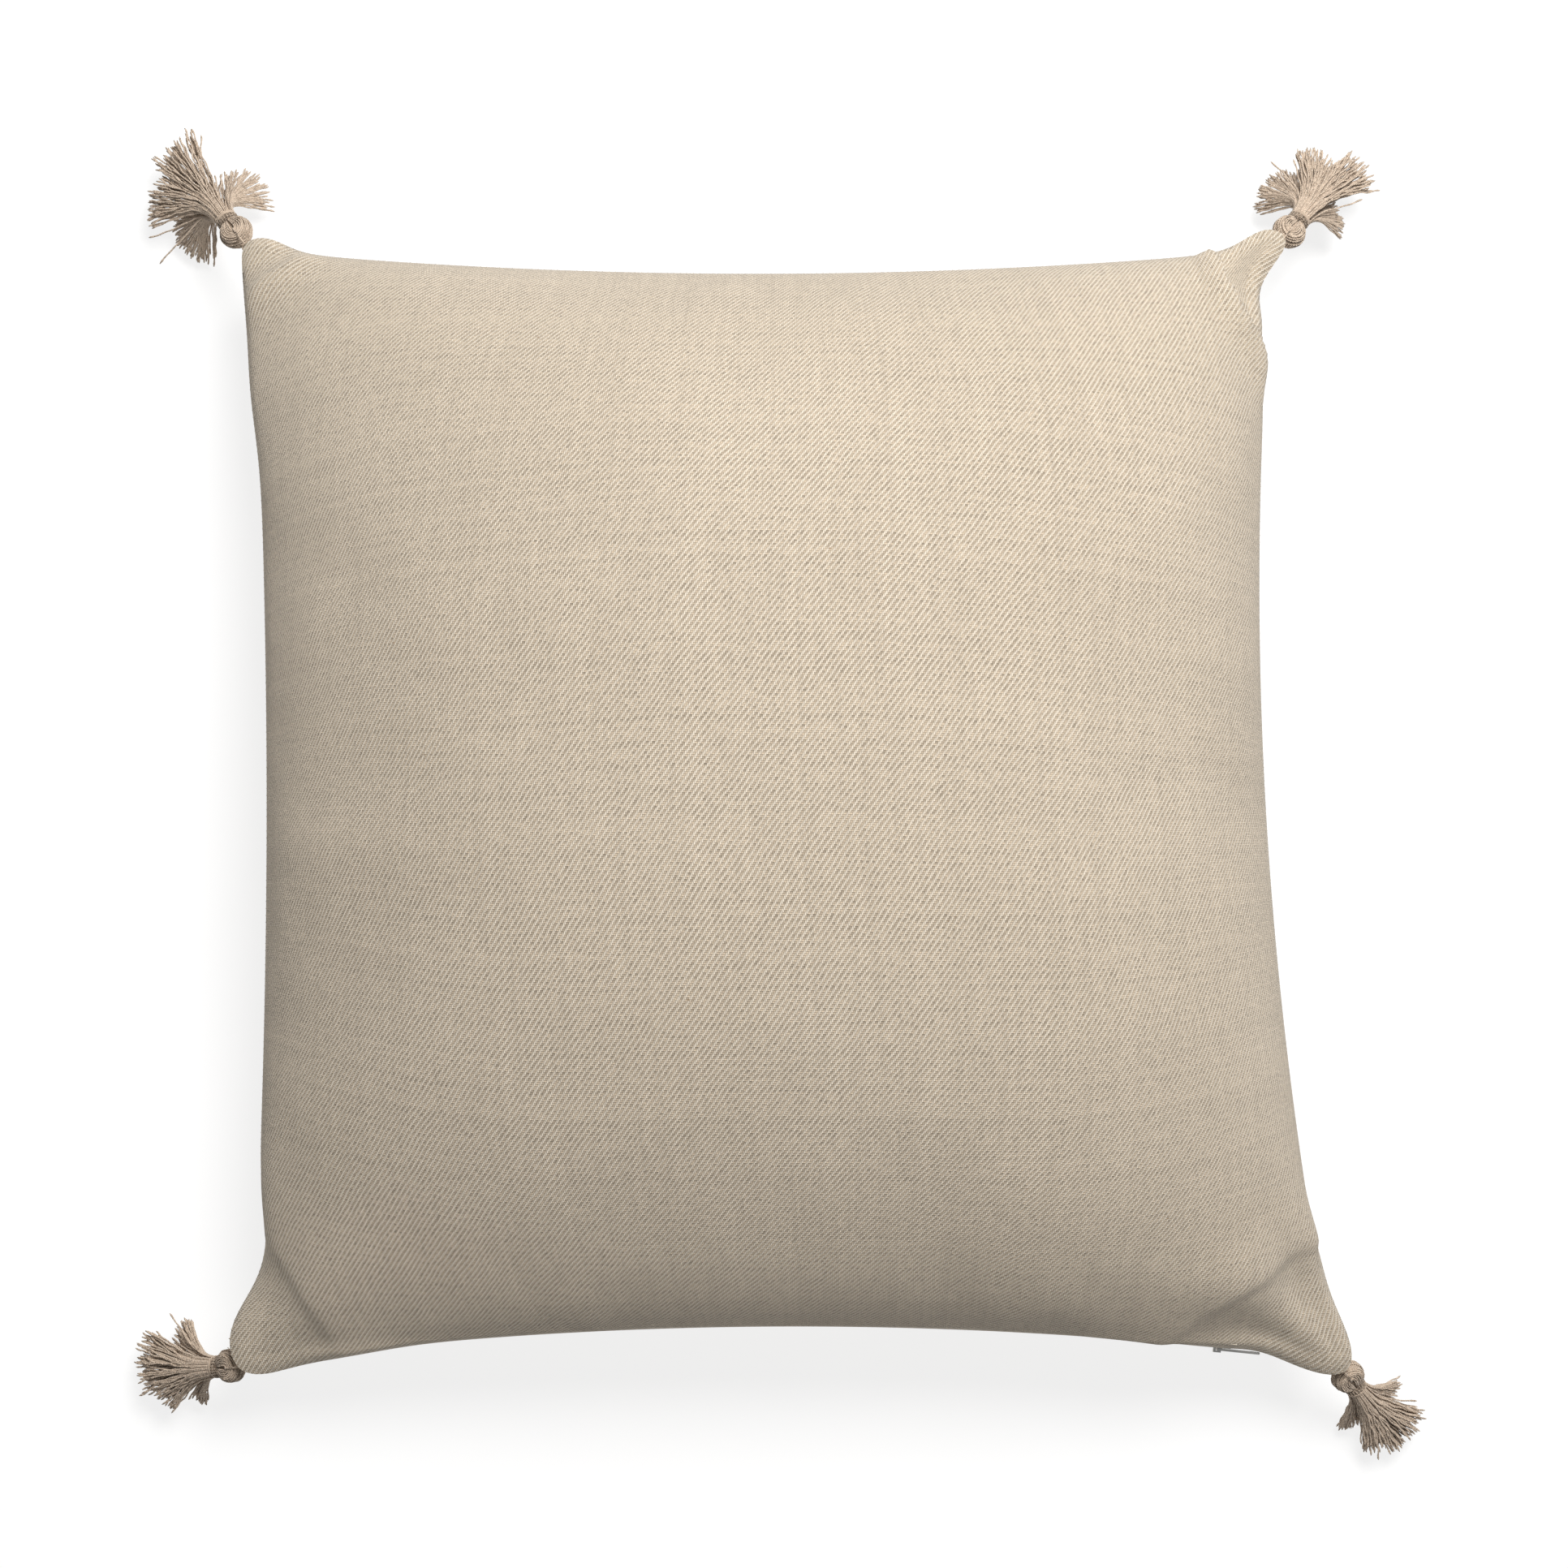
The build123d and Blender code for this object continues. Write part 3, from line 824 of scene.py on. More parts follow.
    @staticmethod
    def columns(data: bpy.types.bpy_prop_collection, name: str, width: int) -> np.ndarray:
        """Values of one collection.

        Args:
            data: the collection.
            name: which value of each item.
            width: how many numbers the value has.

        Returns:
            An array with a row for each item.
        """
        values = np.empty(len(data) * width)
        data.foreach_get(name, values)
        return values.reshape(-1, width)

    def flat_of(self, case: bpy.types.Object) -> np.ndarray:
        """Flat place of each point, read from the UV map.

        Args:
            case: the cover.

        Returns:
            A row for each point, with two places from -1 to 1.
        """
        loops = self.columns(case.data.loops, "vertex_index", 1).astype(int).ravel()
        uv = self.columns(case.data.uv_layers["UVMap"].data, "uv", 2)
        places = np.zeros((len(case.data.vertices), 2))
        places[loops] = uv * 2 - 1
        return places

    def grid_of(self, case: bpy.types.Object) -> np.ndarray:
        """Place from edge to edge, and side, of each point."""
        return self.columns(case.data.attributes["grid"].data, "vector", 3)

    def form_rise(self, gx: np.ndarray, gy: np.ndarray) -> np.ndarray:
        """Height of a plain filled form above its seam, 1 in the middle."""
        rise = np.sqrt(np.clip((1 - gx**2) * (1 - gy**2), 0, None))
        return rise * (1 + self.shoulder * gx**2) * (1 + self.shoulder * gy**2)

    def settle(self, case: bpy.types.Object) -> None:
        """Evens out the filled case, fits it to its seam line and rests it on the floor.

        Args:
            case: the inflated cover.
        """
        points = self.columns(case.data.vertices, "co", 3)
        grid, flat = self.grid_of(case), self.flat_of(case)
        sides = np.sign(grid[:, 2])
        height = np.where(sides >= 0, self.crown, self.belly)
        reach = np.where(sides >= 0, points[:, 2].max(), -points[:, 2].min())
        plan = np.array([self.seam.plan(u, v) for u, v in flat])
        form = np.column_stack([plan, self.form_rise(grid[:, 0], grid[:, 1]) * height])
        filled = np.column_stack([points[:, :2], np.abs(points[:, 2]) / reach * height])
        drift = self.evened(filled - form, grid)
        made = form + drift
        lean = 1 + self.skew * grid[:, 0]
        for vertex, (x, y, rise), side, tilt in zip(case.data.vertices, made, sides, lean):
            z = self.seam.height(x, y) + (1 if side >= 0 else -1) * max(0.0, rise) * tilt
            vertex.co = (x, y, self.on_floor(z))
        case.data.update()

    def evened(self, drift: np.ndarray, grid: np.ndarray) -> np.ndarray:
        """Takes the puckers out of the filled shape's difference from the plain form.

        Args:
            drift: difference of each point.
            grid: place and side of each point.

        Returns:
            The difference, evened along each edge and zero on the seam.
        """
        cells = self.divisions
        i = np.rint((grid[:, 0] + 1) / 2 * cells).astype(int)
        j = np.rint((grid[:, 1] + 1) / 2 * cells).astype(int)
        steps = np.linspace(0, 1, cells + 1)
        s, t = steps[:, None, None], steps[None, :, None]
        ease_u = self.ease(np.minimum(s, 1 - s) / 0.22)
        ease_v = self.ease(np.minimum(t, 1 - t) / 0.22)
        out = np.zeros_like(drift)
        for side in (1, -1):
            here = (grid[:, 2] * side > 0) | (grid[:, 2] == 0)
            sheet = np.zeros((cells + 1, cells + 1, 3))
            sheet[i[here], j[here]] = drift[here]
            edge = sheet[:1] * (1 - s) + sheet[-1:] * s + sheet[:, :1] * (1 - t) + sheet[:, -1:] * t
            knots = sheet[:1, :1] * (1 - s) * (1 - t) + sheet[-1:, :1] * s * (1 - t)
            knots = knots + sheet[:1, -1:] * (1 - s) * t + sheet[-1:, -1:] * s * t
            sheet = sheet - edge + knots
            smooth = sheet.copy()
            for _ in range(self.evening):
                along_u = (smooth[:-2, 1:-1] + smooth[2:, 1:-1]) / 2 - smooth[1:-1, 1:-1]
                along_v = (smooth[1:-1, :-2] + smooth[1:-1, 2:]) / 2 - smooth[1:-1, 1:-1]
                smooth[1:-1, 1:-1] += 0.5 * (ease_u[1:-1] * along_u + ease_v[:, 1:-1] * along_v)
            sheet = smooth + self.residue * (sheet - smooth)
            mine = here & (grid[:, 2] * side > 0)
            out[mine] = sheet[i[mine], j[mine]]
        return out

    @staticmethod
    def ease(value: np.ndarray) -> np.ndarray:
        """Smooth 0 to 1 of an array."""
        share = np.clip(value, 0, 1)
        return share * share * (3 - 2 * share)

    @staticmethod
    def on_floor(z: float, soft: float = 0.004) -> float:
        """Height after the floor has flattened what would lie below it.

        Args:
            z: height before.
            soft: how far above the floor the flattening starts.

        Returns:
            Height after.
        """
        if z >= soft:
            return z
        if z <= -soft:
            return 0.0
        return (z + soft) ** 2 / (4 * soft)

    def refine(self, case: bpy.types.Object) -> None:
        """Subdivides the panels once and keeps the seam a sharp edge.

        Args:
            case: the settled cover.
        """
        mesh = case.data
        grid = self.grid_of(case)
        crease = mesh.attributes.get("crease_edge") or mesh.attributes.new("crease_edge", "FLOAT", "EDGE")
        for edge in mesh.edges:
            sewn = all(grid[i, 2] == 0 for i in edge.vertices)
            crease.data[edge.index].value = 1.0 if sewn else 0.0
        modifier = case.modifiers.new("fine", "SUBSURF")
        modifier.levels = modifier.render_levels = 1
        modifier.boundary_smooth = "PRESERVE_CORNERS"
        Bench.apply(case, modifier)

    def crumple(self, case: bpy.types.Object) -> None:
        """Works the corners and the cloth's small unevenness into the shape.

        Args:
            case: the finely divided cover.
        """
        mesh = case.data
        half = self.panel / 2
        flat, grid = self.flat_of(case), self.grid_of(case)
        normals = [v.normal.copy() for v in mesh.vertices]
        for vertex, normal, (u, v), (gx, gy, side) in zip(mesh.vertices, normals, flat, grid):
            edge = min(1 - abs(gx), 1 - abs(gy)) * half
            shape = self.corner_at(gx, gy)
            a, b = (1 - shape.side_x * u) * half, (1 - shape.side_y * v) * half
            if vertex.co.z > 0.0005:
                lift = self.unevenness(u, v, side) * smoothstep(0.0, 0.030, edge)
                lift += self.fold_lift(shape, a, b, side) * smoothstep(0.0, 0.012, edge)
                vertex.co += normal * lift
            vertex.co += self.pushed(shape, a, b)
        mesh.update()

    def unevenness(self, u: float, v: float, side: float) -> float:
        """Gentle lumps of the filling.

        Args:
            u: flat place from left to right, -1 to 1.
            v: flat place from front to back, -1 to 1.
            side: 1 for the upper panel, -1 for the lower.

        Returns:
            Rise in metres.
        """
        depth = 0.0 if side >= 0 else 7.0
        broad = noise.noise(Vector((u * 2.1 + 3.0, v * 2.1, depth)))
        fine = noise.noise(Vector((u * 6.5, v * 6.5 + 5.0, depth)))
        return 0.0022 * broad + 0.0006 * fine

    def pushed(self, shape: CornerShape, a: float, b: float) -> Vector:
        """How far the corner's end is drawn out past the seam corner, and lifted over the loop.

        Args:
            shape: the corner.
            a: distance on the flat panel from the left or right edge.
            b: distance on the flat panel from the front or back edge.

        Returns:
            The move.
        """
        away = math.hypot(a, b)
        if away > 0.16:
            return Vector()
        outward = Vector((shape.side_x, shape.side_y, 0)) / math.sqrt(2)
        move = outward * shape.push * hump(away, 0.030) + Vector((0, 0, shape.lift * hump(away, 0.020)))
        move.x += shape.side_x * sum(s.out * hump(b - s.along, s.width) for s in shape.flank) * hump(a, 0.030)
        move.y += shape.side_y * sum(s.out * hump(a - s.along, s.width) for s in shape.brow) * hump(b, 0.030)
        return move

    def seam_point(self, u: float, v: float) -> Vector:
        """Point of the finished cover's seam.

        Args:
            u: place from left to right, -1 to 1.
            v: place from front to back, -1 to 1.

        Returns:
            The point.
        """
        shape, half = self.corner_at(u, v), self.panel / 2
        a, b = (1 - shape.side_x * u) * half, (1 - shape.side_y * v) * half
        return self.seam.place(u, v) + self.pushed(shape, a, b)

    def fold_lift(self, shape: CornerShape, a: float, b: float, side: float) -> float:
        """How far one corner's fold raises or lowers the cloth.

        Args:
            shape: the corner.
            a: distance on the flat panel from the left or right edge.
            b: distance on the flat panel from the front or back edge.
            side: 1 for the upper panel, -1 for the lower.

        Returns:
            Rise in metres.
        """
        if a > 0.20 or b > 0.20:
            return 0.0
        reach = math.hypot(a, b) + shape.skew * (a - b)
        wander = 0.004 * noise.noise(Vector((a * 40, b * 40, shape.side_x + 2 * shape.side_y)))
        gap = reach + wander - shape.fold
        across = hump(a - b, 0.07)
        body = shape.depth * hump(gap - 0.6 * shape.width, 2.2 * shape.width)
        ear = -shape.depth * 0.7 * smoothstep(0.0, 2.0 * shape.width, -gap) * smoothstep(0.0, 0.020, reach)
        lift = (body * smoothstep(-shape.width * 0.5, shape.width * 0.5, gap) + ear) * (0.35 + 0.65 * across)
        if shape.ripples:
            wave = math.sin(math.atan2(b, a) * 9.0 + 1.2) * hump(reach - 0.075, 0.045)
            lift += shape.ripples * 0.0022 * wave
        return lift if side >= 0 else 0.4 * lift

    def open_zip(self, case: bpy.types.Object) -> None:
        """Parts the panels along the zip and turns their edges in behind it.

        Args:
            case: the crumpled cover.
        """
        mesh = bmesh.new()
        mesh.from_mesh(case.data)
        grid = mesh.verts.layers.float_vector["grid"]
        opened = []
        for edge in mesh.edges:
            ends = [vertex[grid] for vertex in edge.verts]
            if all(g[1] < -0.9999 and abs(g[0]) < self.seam.sewn_share for g in ends):
                opened.append(edge)
        bmesh.ops.split_edges(mesh, edges=opened)
        for vertex in mesh.verts:
            gx, gy, _ = vertex[grid]
            inner = (1 + gy) * self.panel / 2
            if inner > self.zip_reach or abs(gx) > self.seam.sewn_share:
                continue
            side = sum(other[grid][2] for face in vertex.link_faces for other in face.verts)
            fade = 1 - smoothstep(0.0, self.zip_reach, inner)
            vertex.co.z += math.copysign(self.seam.parting(gx) * fade, side)
        rim = [edge for edge in mesh.edges if edge.is_boundary]
        out = bmesh.ops.extrude_edge_only(mesh, edges=rim)["geom"]
        for vertex in (g for g in out if isinstance(g, bmesh.types.BMVert)):
            vertex.co.y += self.hem
        bmesh.ops.recalc_face_normals(mesh, faces=mesh.faces)
        mesh.to_mesh(case.data)
        mesh.free()

    @staticmethod
    def dress(piece: bpy.types.Object, name: str, cloth: bpy.types.Material) -> None:
        """Names a padded piece and gives it its cloth.

        Args:
            piece: the cover or the insert.
            name: its name.
            cloth: its finish.
        """
        piece.name = name
        piece.data.materials.clear()
        piece.data.materials.append(cloth)
        Bench.smooth(piece, 75.0)

    def build(self, cloth: bpy.types.Material, cotton: bpy.types.Material) -> list:
        """Makes the cover and the insert inside it.

        Args:
            cloth: the twill.
            cotton: the insert's cotton.

        Returns:
            The cover and the insert.
        """
        case = self.flat_case()
        self.inflate(case)
        self.settle(case)
        insert = self.build_insert(case, cotton)
        self.refine(case)
        self.crumple(case)
        self.open_zip(case)
        self.dress(case, "cover", cloth)
        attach(case, "cushion")
        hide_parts("cover_top_panel", "cover_bottom_panel")
        return [case, insert]

    def build_insert(self, case: bpy.types.Object, cotton: bpy.types.Material) -> bpy.types.Object:
        """Copies the settled shape a little smaller, as the insert inside the cover.

        Args:
            case: the settled cover.
            cotton: the insert's finish.

        Returns:
            The insert.
        """
        insert = case.copy()
        insert.data = case.data.copy()
        bpy.context.collection.objects.link(insert)
        for vertex in insert.data.vertices:
            x, y, z = vertex.co
            seam = self.seam.height(x, y)
            shrunk = seam + (z - seam) * 0.95
            vertex.co = (x * self.insert_share, y * self.insert_share, max(0.0017, shrunk - 0.001))
        self.dress(insert, "insert", cotton)
        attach(insert, "cushion")
        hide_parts("insert_top_casing", "insert_bottom_casing", "insert_filling")
        return insert


# ---------------------------------------------------------------------------------------------
# Yarn
# ---------------------------------------------------------------------------------------------
class Lay(Enum):
    """How a group of tassel yarns falls."""

    OVER = "over"
    UNDER = "under"
    STRAY = "stray"


@dataclass
class YarnMaker:
    """Twisted two-ply yarn laid along given lines."""

    radius: float = 0.00052
    pitch: float = 0.0042
    sides: int = 6
    ends: tuple = (0.55, 1.12, 1.25, 1.1)

    def profile(self) -> bpy.types.Object:
        """Draws the cross-section of two plies side by side.

        Returns:
            A closed flat curve.
        """
        data = bpy.data.curves.new("two_plies", "CURVE")
        data.dimensions = "2D"
        spline = data.splines.new("POLY")
        spline.points.add(self.sides - 1)
        for i, point in enumerate(spline.points):
            angle = 2 * math.pi * i / self.sides
            reach = self.radius * (0.72 + 0.28 * abs(math.cos(angle)) ** 1.4)
            point.co = (reach * math.cos(angle), reach * math.sin(angle), 0, 1)
        spline.use_cyclic_u = True
        item = bpy.data.objects.new("two_plies", data)
        bpy.context.collection.objects.link(item)
        return item

    def lay(self, name: str, lines: list, tips: bool = False) -> bpy.types.Object:
        """Lays one yarn along each line and joins them in one mesh.

        Args:
            name: the piece's name.
            lines: lists of points.
            tips: whether the yarns fray and then thin out at their last points.

        Returns:
            The finished yarns.
        """
        data = bpy.data.curves.new(name, "CURVE")
        data.dimensions = "3D"
        data.resolution_u = 1
        data.twist_mode = "MINIMUM"
        data.use_fill_caps = True
        data.bevel_mode = "OBJECT"
        section = self.profile()
        data.bevel_object = section
        for line in lines:
            spline = data.splines.new("POLY")
            spline.points.add(len(line) - 1)
            travelled = 0.0
            for i, (point, place) in enumerate(zip(spline.points, line)):
                if i:
                    travelled += (place - line[i - 1]).length
                point.co = (*place, 1)
                point.tilt = 2 * math.pi * travelled / self.pitch
                left = len(line) - 1 - i
                point.radius = self.ends[left] if tips and left < len(self.ends) else 1.0
        item = bpy.data.objects.new(name, data)
        bpy.context.collection.objects.link(item)
        item = Bench.to_mesh(item)
        Bench.drop(section)
        Bench.smooth(item, 80.0)
        return item


@dataclass(frozen=True)
class Fan:
    """One group of yarns of a skirt: the directions it spreads over, and how long and how many."""

    low: float
    high: float
    count: int
    length: float
    lay: Lay = Lay.OVER


@dataclass(frozen=True)
class Way:
    """How one kind of lay falls: how soon it turns, how high it heaps up and how fast it drops."""

    turn_over: float
    heap: float
    weight: float


WAYS = {Lay.OVER: Way(0.022, 0.017, 0.55), Lay.UNDER: Way(0.014, 0.006, 1.1), Lay.STRAY: Way(0.020, 0.012, 0.45)}


@dataclass
class Tassel:
    """Yarn tassel hung from one corner: head with its eye, wound neck, and spread skirt."""

    corner: str
    fans: list
    seed: int
    yarn: YarnMaker = field(default_factory=YarnMaker)
    head_radius: float = 0.0090
    head_half: float = 0.0062
    neck_drop: float = 0.0095
    skirt_drop: float = 0.0119
    neck_radius: float = 0.0046
    binding_turns: int = 7
    binding_length: float = 0.0056
    binding_radius: float = 0.0054
    loop_half: float = 0.0069
    step: float = 0.0012

    def __post_init__(self) -> None:
        """Reads the tassel's place from the frame's joints."""
        swing, lift = joint(f"tassel_swing_{self.corner}"), joint(f"loop_lift_{self.corner}")
        self.ring = Vector(lift["pos_m"])
        self.eye = Vector(swing["pos_m"])
        self.up = Vector(swing["axis"]).normalized()
        self.side = -Vector(lift["axis"]).normalized()
        self.along = (self.eye - self.ring).normalized()
        self.dice = random.Random(self.seed)

    def local(self, x: float, y: float, down: float) -> Vector:
        """Point in the tassel's own frame: x along the eye, y level, down towards the skirt."""
        return self.eye + self.up * x + self.side * y + self.along * down

    def head_lines(self) -> list:
        """Yarns folded round the eye, in layers from the eye to the outside.

        Returns:
            Lines for the yarn maker.
        """
        lines = []
        step = self.yarn.radius * 1.75
        level = -self.head_half
        while level <= self.head_half:
            deep = abs(level) < self.head_half - 0.0020
            ball = math.sqrt(1 - (level / (self.head_half + 0.0022)) ** 2) * self.head_radius
            radius = 0.0006 if deep else 0.0018
            while radius < ball:
                lines.append(self.head_arc(radius, level + self.dice.uniform(-0.0002, 0.0002)))
                radius += step
            level += step
        return lines

    def head_arc(self, radius: float, level: float) -> list:
        """One yarn up one side of the eye, over it and down to the neck.

        Args:
            radius: how far from the eye's middle it passes.
            level: how far along the eye it lies.

        Returns:
            Points along the yarn.
        """
        phase = self.dice.uniform(0, 6)
        wide = 1 - 0.35 * max(0.0, 1 - radius / 0.005)
        neck = self.neck_radius - 0.0004
        neck_x = level / self.head_half * neck * 0.85
        neck_y = radius / self.head_radius * math.sqrt(max(0.0, neck**2 - neck_x**2))
        bow, tails = [], {}
        for i in range(21):
            angle = math.radians(-100 + 10 * i)
            wobble = 1 + 0.025 * math.sin(3 * angle + phase)
            bow.append((level, radius * wobble * wide * math.sin(angle), -radius * wobble * math.cos(angle)))
        for sign, start, before in ((-1, bow[0], bow[1]), (1, bow[-1], bow[-2])):
            first = Vector(start)
            ahead = (first - Vector(before)).normalized()
            last = Vector((neck_x, sign * neck_y, self.neck_drop + 0.001))
            pull = (last - first).length * 0.42
            near, far = first + ahead * pull, last - Vector((0, 0, pull))
            tails[sign] = []
            for k in range(1, 9):
                t = k / 8
                turned = first * (1 - t) ** 3 + near * 3 * t * (1 - t) ** 2
                tails[sign].append(turned + far * 3 * t * t * (1 - t) + last * t**3)
        path = list(reversed(tails[-1])) + [Vector(p) for p in bow] + tails[1]
        return [self.local(*place) for place in path]

    def binding_lines(self) -> list:
        """Thin cord wound tight round the neck.

        Returns:
            One line.
        """
        per_turn = 22
        count = self.binding_turns * per_turn
        points = []
        for i in range(count + 1):
            share = i / count
            angle = 2 * math.pi * self.binding_turns * share
            swell = self.binding_radius + 0.0005 * math.sin(math.pi * share) + 0.0001 * math.sin(3.7 * angle)
            down = self.neck_drop + (share - 0.5) * self.binding_length
            points.append(self.local(swell * math.cos(angle), swell * math.sin(angle), down))
        return [points]

    def skirt_lines(self) -> list:
        """Every yarn of the skirt, from the neck down to where it lies on the floor.

        Returns:
            Lines for the yarn maker.
        """
        lines = []
        for fan in self.fans:
            lock, left = 0.0, 0
            for i in range(fan.count):
                if left == 0:
                    left = self.dice.randint(2, 5)
                    lock = self.dice.uniform(-0.5, 0.5)
                left -= 1
                share = (i + 0.5 + lock * 3.0) / fan.count
                azimuth = math.radians(fan.low + (fan.high - fan.low) * min(1.0, max(0.0, share)))
                length = fan.length * self.dice.uniform(0.86, 1.07)
                lines.append(self.fall(azimuth + self.dice.uniform(-0.05, 0.05), length, fan.lay))
        return lines

    def fall(self, azimuth: float, length: float, lay: Lay) -> list:
        """One yarn that leaves the neck, turns to its own direction, drops and lies down.

        Args:
            azimuth: direction it ends up lying in, anticlockwise from +X.
            length: its length below the neck.
            lay: whether it lies over, under or apart from the others.

        Returns:
            Points along the yarn.
        """
        dice = self.dice
        flat = Vector((math.cos(azimuth), math.sin(azimuth), 0))
        lean = max(-1.0, min(1.0, flat.dot(self.side) * 1.15 + dice.uniform(-0.25, 0.25)))
        across = self.neck_radius * lean * 0.92
        rise = math.sqrt(max(0.0, self.neck_radius**2 - across**2))
        rise *= {
            Lay.OVER: dice.uniform(-0.1, 1.0),
            Lay.UNDER: -dice.uniform(0.2, 1.0),
            Lay.STRAY: dice.uniform(-1.0, 1.0),
        }[lay]
        offset = self.up * rise + self.side * across
        point = self.local(0, 0, self.skirt_drop - 0.003) + offset
        heading = (self.along + offset * 100).normalized()
        way = WAYS[lay]
        pile = dice.uniform(0.05, 1.0) * way.heap
        curl = dice.gauss(0, 9.0)
        phase, lobe = dice.uniform(0, 6.28), dice.uniform(0, 6.28)
        wave, crimp = dice.uniform(0.03, 0.16), dice.uniform(0.00008, 0.00045)
        count = max(8, int((length + 0.003) / self.step))
        points = [point.copy()]
        for i in range(count):
            gone = i * self.step
            turned = smoothstep(0.002, way.turn_over, gone)
            sway = math.sin(gone * 170 + phase) * wave + curl * max(0.0, gone - 0.018) * 0.5
            aim = Matrix.Rotation(sway, 3, "Z") @ flat
            target = (self.along * (1 - turned) + aim * turned + Vector((0, 0, -way.weight * turned))).normalized()
            heading = heading.lerp(target, 0.18).normalized()
            floor = self.yarn.radius + pile * max(0.0, 1 - gone / length) ** 0.8
            after = point + heading * self.step
            if after.z < floor:
                after.z = point.z + (floor - point.z) * 0.5 if point.z > floor else floor
                after.z = max(after.z, self.yarn.radius)
                heading.z = max(heading.z, -0.12)
                heading.normalize()
            point = after
            shake = crimp * smoothstep(0.004, 0.02, gone)
            wriggle = heading.cross(Vector((0, 0, 1))) * math.sin(gone * 560 + lobe) * shake
            wriggle.z = abs(math.cos(gone * 430 + lobe)) * shake
            points.append(point + wriggle)
        return points

    def loop_lines(self) -> list:
        """Thin cord from the corner's thread round both sides of the head and through its eye.

        Returns:
            One closed line.
        """
        reach = (self.eye - self.ring).length / 2
        points = []
        for i in range(61):
            angle = 2 * math.pi * i / 60
            x, down = math.cos(angle), math.sin(angle)
            x = math.copysign(abs(x) ** 0.55, x) * self.loop_half
            down = -reach + math.copysign(abs(down) ** 0.62, down) * reach
            points.append(self.local(x, 0, down))
        return [points]

    def build(self, finish: bpy.types.Material) -> list:
        """Makes the tassel's pieces.

        Args:
            finish: the yarn's material.

        Returns:
            Head, binding, skirt and loop.
        """
        thin = YarnMaker(radius=0.00046, pitch=0.0026, sides=6)
        hanger = YarnMaker(radius=0.00052, pitch=0.0028, sides=6)
        rows = [
            (self.yarn.lay(f"tassel_head_yarns_{self.corner}", self.head_lines()), "tassel", "tassel_head"),
            (thin.lay(f"tassel_binding_cord_{self.corner}", self.binding_lines()), "tassel", "tassel_binding"),
            (self.yarn.lay(f"tassel_skirt_yarns_{self.corner}", self.skirt_lines(), True), "tassel", "tassel_skirt"),
            (hanger.lay(f"hanging_loop_cord_{self.corner}", self.loop_lines()), "loop", "hanging_loop"),
        ]
        for item, body, node in rows:
            item.data.materials.append(finish)
            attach(item, f"{body}_{self.corner}")
            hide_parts(f"{node}_{self.corner}")
        return [row[0] for row in rows]


# ---------------------------------------------------------------------------------------------
# Seam stitches and zip
# ---------------------------------------------------------------------------------------------
@dataclass
class SeamStitches:
    """Row of small stitches along the sewn edge, on the sides without a zip."""

    cover: Cover
    steps: int = 160
    bare: float = 0.025
    radius: float = 0.00020

    def lines(self) -> list:
        """Line of each stitch, as three points that bow out over the edge.

        Returns:
            Lines for the yarn maker.
        """
        corners = [(-1, -1), (-1, 1), (1, 1), (1, -1)]
        stitches = []
        for (u0, v0), (u1, v1) in zip(corners, corners[1:]):
            for i in range(self.steps):
                share = (i + 0.5) / self.steps
                if min(share, 1 - share) < self.bare:
                    continue
                u, v = u0 + (u1 - u0) * share, v0 + (v1 - v0) * share
                here = self.cover.seam_point(u, v)
                there = self.cover.seam_point(u + (u1 - u0) * 0.002, v + (v1 - v0) * 0.002)
                along = (there - here).normalized()
                outward = along.cross(Vector((0, 0, 1))).normalized()
                if outward.dot(Vector((here.x, here.y, 0))) < 0:
                    outward = -outward
                rise = Vector((0, 0, 0.0008)) + along * 0.0004
                back = outward * 0.0005
                stitches.append([here - rise - back, here + outward * 0.00008, here + rise - back])
        return stitches

    def build(self, finish: bpy.types.Material) -> bpy.types.Object:
        """Makes the stitches.

        Args:
            finish: the thread's material.

        Returns:
            All the stitches, as one piece.
        """
        item = YarnMaker(radius=self.radius, pitch=0.004, sides=6).lay("seam_stitches", self.lines())
        item.data.materials.append(finish)
        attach(item, "cushion")
        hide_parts("cover_seam_thread")
        return item


